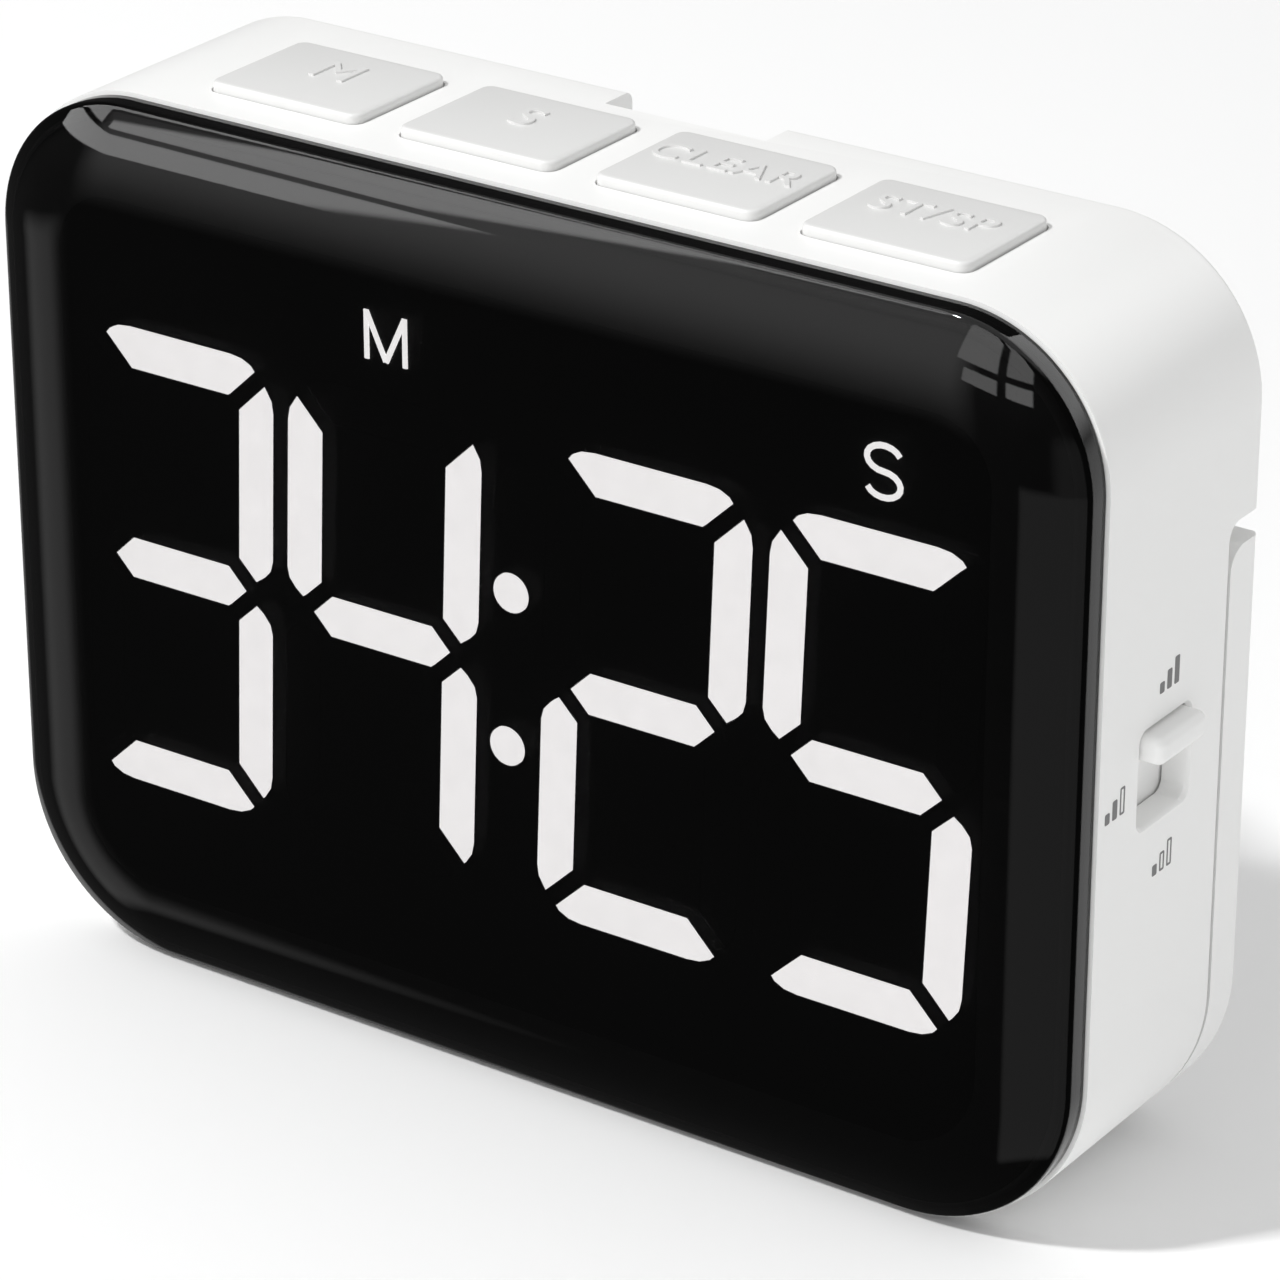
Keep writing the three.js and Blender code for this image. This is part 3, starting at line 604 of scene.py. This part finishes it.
# ---------- lens ----------
def shoulder_height(share):
    """How far the lens has risen towards its flat front, a share of the way across the shoulder."""
    return (CREASE_Y - FRONT_Y) * (1 - (1 - share) ** SHOULDER_POWER)


def lens():
    """One moulded cover: a short upright side wall, then a soft shoulder up to the flat front."""
    obj = casing_block("lens", LENS_INSET, CREASE_Y, LENS_BACK_Y, 28)
    edit(obj)
    pick("FACE", lambda centre, normal: near(centre.y, CREASE_Y))
    for i in range(SHOULDER_STEPS):
        start, end = i / SHOULDER_STEPS, (i + 1) / SHOULDER_STEPS
        inset(SHOULDER / SHOULDER_STEPS, shoulder_height(end) - shoulder_height(start))
    done()
    round_edges(obj, lies_at(Y, CREASE_Y), CREASE_ROUND)
    open_back(obj, LENS_BACK_Y)
    # The inside and the rim are printed black, and only the flat of the inside is left clear.
    obj.data.materials.append(LENS_ACRYLIC)
    obj.data.materials.append(BORDER_INK)
    thicken(obj, LENS_WALL, even=True, inner=1)
    coat(obj, 0, lambda centre, normal: normal.y > 0.995 and centre.y < -10)
    return finish_piece(obj, "casing", ["front_lens"], None, 40)


# ---------- display ----------
def bar_corners(top):
    """The outline of a top or bottom stroke, from the digit's middle."""
    right = [(4.3, 14.75), (6.58, 17.0), (6.3, 17.35), (5.5, 17.72), (4.45, 17.85)]
    left = [(-x, z) for x, z in reversed(right)]
    return [(x, top * z) for x, z in right + left]


def post_corners(side, top):
    """The outline of an upright stroke."""
    outline = [(5.3, 2.45), (6.85, 0.95), (7.45, 1.4), (8.05, 2.1), (8.25, 2.9),
               (8.25, 14.2), (8.1, 15.1), (7.5, 16.05), (5.3, 13.85)]
    return [(side * x, top * z) for x, z in outline]


MIDDLE_CORNERS = [(-5.87, 0), (-4.33, -1.53), (4.33, -1.53),
                  (5.87, 0), (4.33, 1.53), (-4.33, 1.53)]
STROKES = {
    "a": bar_corners(1),
    "b": post_corners(1, 1),
    "c": post_corners(1, -1),
    "d": bar_corners(-1),
    "e": post_corners(-1, -1),
    "f": post_corners(-1, 1),
    "g": MIDDLE_CORNERS,
}
LIT = ("abgcd", "fgbc", "abged", "afgcd")


def stroke(name, corners, y0, y1, grow=0.0):
    """A straight-sided bar: a slab trimmed along each side of its outline."""
    placed = [Vector((x + SLANT * z, 0, DISPLAY_Z + z)) for x, z in corners]
    xs = [p.x for p in placed]
    zs = [p.z for p in placed]
    obj = block(name, min(xs) - 1, max(xs) + 1, y0, y1, min(zs) - 1, max(zs) + 1)
    middle = sum(placed, Vector()) / len(placed)
    edit(obj)
    for a, b in zip(placed, placed[1:] + placed[:1]):
        side = (b - a).normalized()
        out = Vector((side.z, 0, -side.x))
        if out.dot(a - middle) < 0:
            out = -out
        bpy.ops.mesh.select_all(action="SELECT")
        bpy.ops.mesh.bisect(
            plane_co=(a + out * grow) * MM, plane_no=out,
            clear_outer=True, clear_inner=False, use_fill=True,
        )
    done()
    return obj


def dot(name, radius, start, end, up):
    """A round of the colon, above or below its middle."""
    off = DOT["z"] * up
    return disc(name, radius, start, end, Y, (SLANT * off, DISPLAY_Z + off), 40)


def display():
    """The black sheet with its openings, and the light guides that fill them."""
    front, back = MASK_Y, MASK_Y + MASK_THICK
    root = GUIDE["y"][0] + GUIDE["root"]
    sheet = casing_block("display_sheet", SHEET["inset"], *SHEET["y"], 20)
    edit(sheet)
    pick("FACE", lambda centre, normal: near(centre.y, SHEET["y"][0]))
    for across, rise in SHEET["rise"]:
        inset(across, rise)
    done()
    open_back(sheet, SHEET["y"][1])
    thicken(sheet, MASK_THICK)

    patterns = {key: stroke("stroke_" + key, corners, front, root)
                for key, corners in STROKES.items()}
    holes = {key: stroke("hole_" + key, corners, front - 1, back + 1, STROKE_GAP)
             for key, corners in STROKES.items()}
    cuts = [copy_of(hole, "hole", x) for x in DIGIT_X for hole in holes.values()]
    for hole in holes.values():
        bpy.data.objects.remove(hole)
    cuts += [dot("dot_hole", DOT["hole"], front - 1, back + 1, up) for up in SIDES]
    combine(sheet, [join("holes", cuts)], "DIFFERENCE")

    for number, (x, lit) in enumerate(zip(DIGIT_X, LIT), 1):
        guide = block(f"digit_{number}", x - GUIDE["x"], x + GUIDE["x"], *GUIDE["y"],
                      DISPLAY_Z - GUIDE["z"], DISPLAY_Z + GUIDE["z"])
        guide.data.materials.append(DARK_OPAL)
        for key, pattern in patterns.items():
            part = copy_of(pattern, "part", x)
            part.data.materials.append(LIT_OPAL if key in lit else DARK_OPAL)
            combine(guide, [part], "UNION")
        finish_piece(guide, "casing", [f"digit_light_{number}"], None, 30)
    for pattern in patterns.values():
        bpy.data.objects.remove(pattern)

    colon = block("colon", -COLON["x"], COLON["x"], *GUIDE["y"],
                  DISPLAY_Z - COLON["z"], DISPLAY_Z + COLON["z"])
    colon.data.materials.append(DARK_OPAL)
    for up in SIDES:
        part = dot("dot", DOT["r"], front, root, up)
        part.data.materials.append(LIT_OPAL)
        combine(colon, [part], "UNION")
    finish_piece(colon, "casing", ["colon_light"], None, 30)
    return finish_piece(sheet, "casing", ["display_mask"], MASK_INK, 30)


# ---------- unit letters ----------
LETTER_M = (
    ((-1.62, -1.78), (-1.62, 1.78)),
    ((-1.62, 1.72), (-0.01, -1.7)),
    ((0.01, -1.7), (1.62, 1.72)),
    ((1.62, 1.78), (1.62, -1.78)),
)
BOWL = dict(wide=1.3, tall=0.905, steps=12, first=0.12, sweep=1.38)


def letter_s():
    """The pen's path for an S: an upper bowl drawn leftwards, then a lower one drawn back."""
    path = []
    for way in (1, -1):
        for i in range(BOWL["steps"] + 1):
            turned = BOWL["sweep"] * i / BOWL["steps"]
            angle = math.pi * (BOWL["first"] + turned if way == 1 else 0.5 - turned)
            path.append((BOWL["wide"] * math.cos(angle),
                         way * BOWL["tall"] + BOWL["tall"] * math.sin(angle)))
    # The bowls meet at one point, so only one of the two is kept.
    del path[BOWL["steps"]]
    return [path]


def pen_line(name, paths, width):
    """Round wire of a given width along each of the paths, whose points are in millimetres."""
    bpy.ops.object.select_all(action="DESELECT")
    bpy.ops.curve.primitive_bezier_curve_add()
    obj = bpy.context.object
    obj.name = name
    curve = obj.data
    curve.splines.clear()
    for points in paths:
        line = curve.splines.new("POLY")
        line.points.add(len(points) - 1)
        for point, place in zip(line.points, points):
            point.co = (*[p * MM for p in place], 1)
    curve.dimensions = "3D"
    curve.bevel_depth = width / 2 * MM
    curve.bevel_resolution = 3
    curve.use_fill_caps = True
    bpy.ops.object.convert(target="MESH")
    weld(bpy.context.object)
    return bpy.context.object


def pen_letter(name, strokes, x, z):
    """A letter drawn with a round pen, flattened to a print in front of the black sheet."""
    obj = pen_line(name, [[(across, 0, up) for across, up in points] for points in strokes],
                   LETTER_PEN)
    obj.scale = (1, 0.5, 1)
    obj.location = (x * MM, (MASK_Y - 0.05) * MM, z * MM)
    settle(obj)
    return obj


def unit_letters():
    """The two small lit letters over the digits."""
    for text, strokes, x in zip("ms", (LETTER_M, letter_s()), LETTER_X):
        plate = block("unit_" + text, x - LETTER_PLATE["x"], x + LETTER_PLATE["x"],
                      *GUIDE["y"], *LETTER_PLATE["z"])
        plate.data.materials.append(DARK_OPAL)
        letter = pen_letter("letter", strokes, x, LETTER_Z)
        letter.data.materials.append(LIT_OPAL)
        piece = join(plate.name, [plate, letter])
        finish_piece(piece, "casing", ["letter_light_" + text], None, 30)


# ---------- keys ----------
def legend_of(text, x):
    """A key's raised legend, in plain lettering made solid."""
    bpy.ops.object.select_all(action="DESELECT")
    bpy.ops.object.text_add()
    font = bpy.context.object.data
    font.body = text
    font.size = (LEGEND["letter"] if len(text) == 1 else LEGEND["word"]) * MM
    font.align_x = "CENTER"
    font.align_y = "CENTER"
    font.extrude = LEGEND["thick"] / 2 * MM
    font.space_character = LEGEND["spacing"]
    bpy.ops.object.convert(target="MESH")
    obj = bpy.context.object
    obj.location = (x * MM, (KEY_MID_Y + LEGEND["y"]) * MM, KEY_TOP * MM)
    settle(obj)
    weld(obj)
    return obj


def keys():
    """Four flat caps with soft edges and legends raised in the same plastic."""
    half, deep = KEY_WIDE / 2, KEY_DEEP / 2
    cap = rounded_block("cap", -half, half, KEY_MID_Y - deep, KEY_MID_Y + deep,
                        KEY_FOOT, KEY_TOP, KEY_CORNER, Z, 8)
    round_edges(cap, lies_at(Z, KEY_TOP), KEY_ROUND)
    half, deep = half + KEY_FLANGE["over"], deep + KEY_FLANGE["over"]
    flange = block("flange", -half, half, KEY_MID_Y - deep, KEY_MID_Y + deep,
                   KEY_FOOT, KEY_FLANGE["z"])
    thick = KEY_STEM["half"]
    stem = block("stem", -thick, thick, KEY_MID_Y - thick, KEY_MID_Y + thick, *KEY_STEM["z"])
    combine(cap, [flange, stem], "UNION")
    for number, text in enumerate(("M", "S", "CLEAR", "ST/SP")):
        name, x = f"key_{number + 1}", key_x(number)
        piece = join(name, [copy_of(cap, name, x), legend_of(text, x)])
        finish_piece(piece, name, [f"key_cap_{number + 1}"], KEY_ABS, 32)
    bpy.data.objects.remove(cap)


# ---------- side switch ----------
def around_nib(name, shape, y0, y1):
    """A block as high above the nib's middle as below it."""
    return block(name, *shape["x"], y0, y1, NIB["z"] - shape["half"], NIB["z"] + shape["half"])


def side_switch():
    """The slide knob: a plate that closes the slot, a rounded nib to push, and a fork behind."""
    y0, y1 = SLOT["y"]
    nib = around_nib("switch_nib", NIB, y0 + NIB["gap"], y1 - NIB["gap"])
    round_edges(nib, runs(X), NIB["side_round"], 6)
    round_edges(nib, lies_at(X, NIB["x"][1]), NIB["end_round"], 6)
    plate = around_nib("plate", KNOB_PLATE, y0 - KNOB_PLATE["over"], y1 + KNOB_PLATE["over"])
    fork = around_nib("fork", KNOB_FORK, *KNOB_FORK["y"])
    combine(nib, [plate, fork], "UNION")
    combine(nib, [around_nib("gap", FORK_GAP, *FORK_GAP["y"])], "DIFFERENCE")
    finish_piece(nib, "level_switch", ["switch_knob"], WHITE_ABS)


def level_marks():
    """Pad-printed signs beside the switch: three, two and one bar filled."""
    bars = []
    line = BAR["line"]
    for y, z, filled in LEVEL_SIGNS:
        for i in range(3):
            left, foot = y + BAR["first"] + i * BAR["pitch"], z - BAR["foot"]
            right, top = left + BAR["wide"], foot + (BAR["short"] + BAR["rise"] * i)
            bar = block("bar", *INK_X, left, right, foot, top)
            round_edges(bar, runs(X), BAR["round"], 3)
            if i >= filled:
                hollow = block("hollow", *INK_CUT_X, left + line, right - line,
                               foot + line, top - line)
                combine(bar, [hollow], "DIFFERENCE")
            bars.append(bar)
    return finish_piece(join("level_marks", bars), "casing", [], MARK_INK)


# ---------- rear ----------
def stand():
    """The folding stand: a frame as wide as the casing, with a full-round hinge edge at the top."""
    top = HINGE_Z + STAND_EDGE["above"]
    piece = casing_block("stand", 0, STAND_Y, BACK_Y)
    round_edges(piece, lies_at(Y, BACK_Y), STAND_ROUND, 5)
    keep = block("keep", -STAND_KEPT["x"], STAND_KEPT["x"], 0, PAST["y"], STAND_KEPT["z"], top)
    combine(piece, [keep], "INTERSECT")
    round_edges(piece, both(lies_at(Z, top, 0.02), runs(X)), STAND_EDGE["round"], 8)

    half, (low, high) = WINDOW["x"], WINDOW["z"]
    cuts = [rounded_block("window", -half, half, 0, PAST["y"], low, high, PANEL_CORNER, Y)]
    for side in SIDES:
        middle = side * LUG["x"]
        cuts.append(block("lug_gap", middle - LUG_GAP["half"], middle + LUG_GAP["half"],
                          0, PAST["y"], HINGE_Z - LUG_GAP["z"], LUG_GAP["top"]))
        start, end = sorted(side * x for x in PIN_BORE["x"])
        cuts.append(disc("pin_bore", PIN_BORE["r"], start, end, X, (HINGE_Y, HINGE_Z), 32))
    combine(piece, cuts, "DIFFERENCE")

    def round_window(a, b):
        return (max(abs(a.x), abs(b.x)) < half + 0.05
                and min(a.z, b.z) > low - 0.05 and max(a.z, b.z) < high + 0.05)

    round_edges(piece, both(lies_at(Y, BACK_Y), round_window), WINDOW["round"])
    return finish_piece(piece, "kickstand", ["kickstand"], WHITE_ABS)


def battery_door():
    """The battery cover, with finger ribs at the top and a lip that sits in the bay."""
    half, (low, high) = BAY_RIM["x"], BAY_RIM["z"]
    door = rounded_block("battery_cover", -half, half, *DOOR["y"], low, high, PANEL_CORNER, Y)
    round_edges(door, lies_at(Y, DOOR["y"][1]), DOOR["round"])

    def in_bay(name, y0, y1, gap):
        return block(name, gap - BAY["x"], BAY["x"] - gap, y0, y1,
                     BAY["z"][0] + gap, BAY["z"][1] - gap)

    combine(door, [in_bay("lip", *DOOR_LIP["y"], DOOR_LIP["gap"])], "UNION")
    cuts = [in_bay("inside", DOOR_LIP["inside"], DOOR["y"][0], DOOR_LIP["wall"])]
    for i in range(DOOR_RIB["count"]):
        z = high - DOOR_RIB["top"] - i * DOOR_RIB["pitch"]
        cuts.append(rounded_block("rib", -DOOR_RIB["x"], DOOR_RIB["x"], *DOOR_RIB["y"],
                                  z - DOOR_RIB["half"], z + DOOR_RIB["half"],
                                  DOOR_RIB["round"], Y, 4))
    combine(door, cuts, "DIFFERENCE")
    return finish_piece(door, "battery_door", ["battery_door"], WHITE_ABS)


def magnets():
    """Two plated disc magnets with a broken edge, glued into their pockets."""
    magnet = disc("magnet", MAGNET["r"], *MAGNET["y"], Y, (0, MAGNET["z"]), 96)
    round_edges(magnet, lambda a, b: near(a.y, b.y), MAGNET["edge"])
    for side, word in zip(SIDES, ("left", "right")):
        piece = copy_of(magnet, "magnet_disc_" + word, side * MAGNET["x"])
        finish_piece(piece, "casing", ["magnet_" + word], NICKEL)
    bpy.data.objects.remove(magnet)


# ---------- cells and contacts ----------
def facing(way):
    """+1 for the cells whose raised cap is on the right, -1 for the one turned end for end."""
    return -1 if way == 1 else 1


def cells():
    """Three small cells lying across: a sleeved can, a raised cap and a flat base."""
    half, cap = CELL["half"], CELL_CAP
    cell = disc("cell", CELL["r"], -half, half, X, (CELL_Y, 0), 64)
    round_edges(cell, lambda a, b: near(a.x, b.x) and near(abs(a.x), half), CELL["edge"])
    edit(cell)
    pick("FACE", lambda centre, normal: near(centre.x, half) and normal.x > 0.9)
    inset(cap["ring"])
    inset(cap["groove"], -cap["sink"])
    inset(cap["step"])
    extrude(x=cap["tall"])
    pick("EDGE", lies_at(X, half + cap["above"]))
    bevel(cap["edge"], 3)
    pick("FACE", lambda centre, normal: near(centre.x, -half) and normal.x < -0.9)
    inset(cap["ring"])
    inset(cap["groove"], -CELL_BASE_SINK)
    done()
    cell.data.materials.append(CELL_FILM)
    cell.data.materials.append(NICKEL)
    coat(cell, 1, lambda centre, normal: math.hypot(centre.y - CELL_Y, centre.z) < CELL["bare"])
    for i, z in enumerate(CELL_Z):
        piece = copy_of(cell, f"cell_{i + 1}")
        if facing(i) < 0:
            edit(piece)
            bpy.ops.mesh.select_all(action="SELECT")
            bpy.ops.transform.rotate(value=math.pi, orient_axis="Y",
                                     center_override=(0, CELL_Y * MM, 0))
            done()
        piece.location = (-facing(i) * CELL["shift"] * MM, 0, z * MM)
        settle(piece)
        finish_piece(piece, "casing", [f"battery_{i + 1}"], None)
    bpy.data.objects.remove(cell)


def spring_path(side, z):
    """The points of a spring that narrows from its strip towards the cell's base."""
    path = []
    for i in range(SPRING["steps"] + 1):
        share = i / SPRING["steps"]
        angle = 2 * math.pi * SPRING["turns"] * share
        radius = SPRING["r"] - SPRING["taper"] * share
        path.append((-side * (SPRING["x"] - SPRING["deep"] * share),
                     CELL_Y + radius * math.cos(angle), z + radius * math.sin(angle)))
    return path


def contacts():
    """Sprung and plain contacts at the ends of each cell, in plated strip and wire."""
    for i, z in enumerate(CELL_Z):
        side, half, thick = facing(i), STRIP["half"], STRIP["thick"]
        strip = rounded_block("strip", -thick, thick, CELL_Y - half, CELL_Y + half,
                              z - half, z + half, STRIP["corner"], X, 5)
        sprung = copy_of(strip, "sprung_strip", -side * STRIP["sprung_x"])
        wire = pen_line("wire", [spring_path(side, z)], SPRING["wire"])
        finish_piece(join(f"spring_contact_{i + 1}", [sprung, wire]), "casing",
                     [f"contact_spring_{i + 1}"], NICKEL)
        plain = copy_of(strip, "plain_strip", side * STRIP["plain_x"])
        start, end = sorted(side * x for x in DIMPLE["x"])
        dimple = disc("dimple", DIMPLE["r"], start, end, X, (CELL_Y, z), 40)
        tip = DIMPLE["x"][0]
        round_edges(dimple, lambda a, b: near(a.x, b.x) and near(abs(a.x), tip), DIMPLE["round"])
        finish_piece(join(f"plate_contact_{i + 1}", [plain, dimple]), "casing",
                     [f"contact_plate_{i + 1}"], NICKEL)
        bpy.data.objects.remove(strip)


casing()
lens()
display()
unit_letters()
keys()
side_switch()
level_marks()
stand()
battery_door()
magnets()
cells()
contacts()

# ---------- carried-over pieces ----------
SLOT_LOOK = {
    "housing_plastic": REFLECTOR_ABS,
    "circuit_board": BOARD_GREEN,
    "black_plastic": BLACK_NYLON,
    "switch_can": TIN,
    "screw_steel": ZINC,
}
SLOT_OF = {row["node"]: row["material_slot"] for row in frame["record"]["subparts"]}
for node_name, node in frame["nodes"].items():
    look = SLOT_LOOK.get(SLOT_OF[node_name])
    if look and not node.hide_render:
        node.data.materials.clear()
        node.data.materials.append(look)

# ---------- floor ----------
bpy.ops.object.select_all(action="DESELECT")
bpy.ops.mesh.primitive_plane_add(size=6, location=(0, 0, -0.00002))
floor = bpy.context.object
floor.name = "studio_floor"
floor_material, floor_tree, floor_shader = new_material("white_paper_sweep")
floor_shader.inputs["Base Color"].default_value = srgb("#FBFBFB")
floor_shader.inputs["Roughness"].default_value = 0.9
floor_shader.inputs["Specular IOR Level"].default_value = 0.1
floor.data.materials.append(floor_material)
floor.visible_glossy = False
floor.visible_transmission = False

# ---------- light ----------
# Even light from all round, on everything but the gloss.
AMBIENT = 0.62
# What the gloss shows: soft windows and screens round the table, placed by bearing and height in
# degrees. A bearing is measured from straight in front of the timer, positive to the right.
STUDIO = (
    # bearing from, to, softness; height from, to, softness; brightness
    (-70, -36.2, 1.2, 12.6, 22.8, 0.8, 3.6),    # left window, low pane
    (-70, -48.5, 1.2, 24.2, 60.0, 0.8, 3.2),    # left window, high panes
    (-45.5, -38.0, 1.2, 24.2, 60.0, 0.8, 3.6),
    (-22, -1.6, 1.5, 22.8, 50.0, 0.8, 2.0),     # right window, four panes
    (-18, -1.6, 1.5, 13.0, 20.6, 0.8, 1.9),
    (1.0, 15, 1.5, 23.5, 50.0, 0.8, 1.8),
    (1.0, 15, 1.5, 14.0, 21.5, 0.8, 2.2),
    (-54, -8, 16.0, -22.0, 90.0, 46.0, 0.8),    # soft wall between and above them
    (0, 48, 5.0, -58.0, -15.0, 5.0, 0.3),       # table edge in front
    (16, 50, 12.0, -30.0, 11.0, 12.0, 0.2),
    (-86, -42, 15.0, -50.0, -12.0, 7.0, 0.42),  # low screens to the left
    (-127, -104, 6.0, -60.0, -10.0, 8.0, 0.4),
    (112, 200, 14.0, -75.0, 14.0, 16.0, 0.95),  # pale wall and window behind
    (112, 200, 14.0, 0.0, 80.0, 22.0, 2.2),
    (-200, -138, 8.0, -75.0, 4.0, 16.0, 0.95),
    (-200, 200, 1.0, 48.0, 120.0, 12.0, 0.7),   # ceiling
    (-200, 200, 1.0, -120.0, 120.0, 1.0, 0.05),
)
world = bpy.data.worlds.new("studio")
bpy.context.scene.world = world
world.use_nodes = True
sky_tree = world.node_tree
sky = sky_tree.nodes["Background"]
sky.inputs["Color"].default_value = (1, 1, 1, 1)


def math_of(operation, a, b=None):
    """A Math node on one or two values, each a number or another node's output."""
    node = add(sky_tree, "ShaderNodeMath", {"operation": operation})
    for place, value in enumerate((a, b)):
        if isinstance(value, (int, float)):
            node.inputs[place].default_value = value
        elif value is not None:
            sky_tree.links.new(value, node.inputs[place])
    return node.outputs[0]


def ramp(source, start, end):
    """Rises smoothly from 0 at start to 1 at end, both in degrees."""
    return add(sky_tree, "ShaderNodeMapRange", {
        "interpolation_type": "SMOOTHSTEP",
        "From Min": math.radians(start), "From Max": math.radians(end),
    }, Value=source).outputs["Result"]


def span(source, low, high, softness):
    """1 between two angles, and falling softly to 0 at both."""
    rising = ramp(source, low, low + softness)
    return math_of("MULTIPLY", rising, ramp(source, high, high - softness))


ray = add(sky_tree, "ShaderNodeLightPath").outputs
toward = add(sky_tree, "ShaderNodeTexCoord").outputs["Generated"]
heading = add(sky_tree, "ShaderNodeSeparateXYZ", Vector=toward).outputs
bearing = math_of("ARCTAN2", heading["X"], math_of("MULTIPLY", heading["Y"], -1.0))
rise = math_of("ARCSINE", heading["Z"])
in_gloss = 0.0
for left, right, side_soft, low, high, rise_soft, level in STUDIO:
    across = span(bearing, left, right, side_soft)
    panel = math_of("MULTIPLY", across, span(rise, low, high, rise_soft))
    in_gloss = math_of("MAXIMUM", math_of("MULTIPLY", panel, level), in_gloss)
seen_sharply = math_of("MAXIMUM", ray["Is Glossy Ray"], ray["Is Transmission Ray"])
seen = add(sky_tree, "ShaderNodeMix", {"data_type": "FLOAT", 2: AMBIENT})
sky_tree.links.new(seen_sharply, seen.inputs[0])
sky_tree.links.new(in_gloss, seen.inputs[3])
white = add(sky_tree, "ShaderNodeMix", {"data_type": "FLOAT", 3: 1.0})
sky_tree.links.new(ray["Is Camera Ray"], white.inputs[0])
sky_tree.links.new(seen.outputs[0], white.inputs[2])
sky_tree.links.new(white.outputs[0], sky.inputs["Strength"])


def soft_box(name, place, aim, wide, tall, power):
    """A rectangular soft light at a place, facing a point; metres and watts."""
    data = bpy.data.lights.new(name, "AREA")
    data.shape = "RECTANGLE"
    data.size = wide
    data.size_y = tall
    data.energy = power
    lamp = bpy.data.objects.new(name, data)
    bpy.context.scene.collection.objects.link(lamp)
    lamp.location = place
    lamp.rotation_euler = (Vector(aim) - Vector(place)).to_track_quat("-Z", "Y").to_euler()
    return lamp


soft_box("key_light", (-0.33, -0.47, 0.82), (0, 0, 0.03), 0.07, 0.07, 5.6)
front_fill = soft_box("front_fill", (0.0, -1.3, 0.2), (0, 0, 0.06), 0.4, 0.1, 3.0)
front_fill.visible_glossy = False
front_fill.visible_transmission = False

# ---------- camera ----------
camera_data = bpy.data.cameras.new("camera")
camera_data.sensor_width = 36
camera_data.lens = 156
camera = bpy.data.objects.new("camera", camera_data)
bpy.context.scene.collection.objects.link(camera)
camera.location = (0.20282, -0.28751, 0.19536)
aim = Vector((0.0108, -0.01055, 0.0377)) - camera.location
camera.rotation_euler = aim.to_track_quat("-Z", "Y").to_euler()
bpy.context.scene.camera = camera

bpy.context.scene.view_settings.view_transform = "Standard"
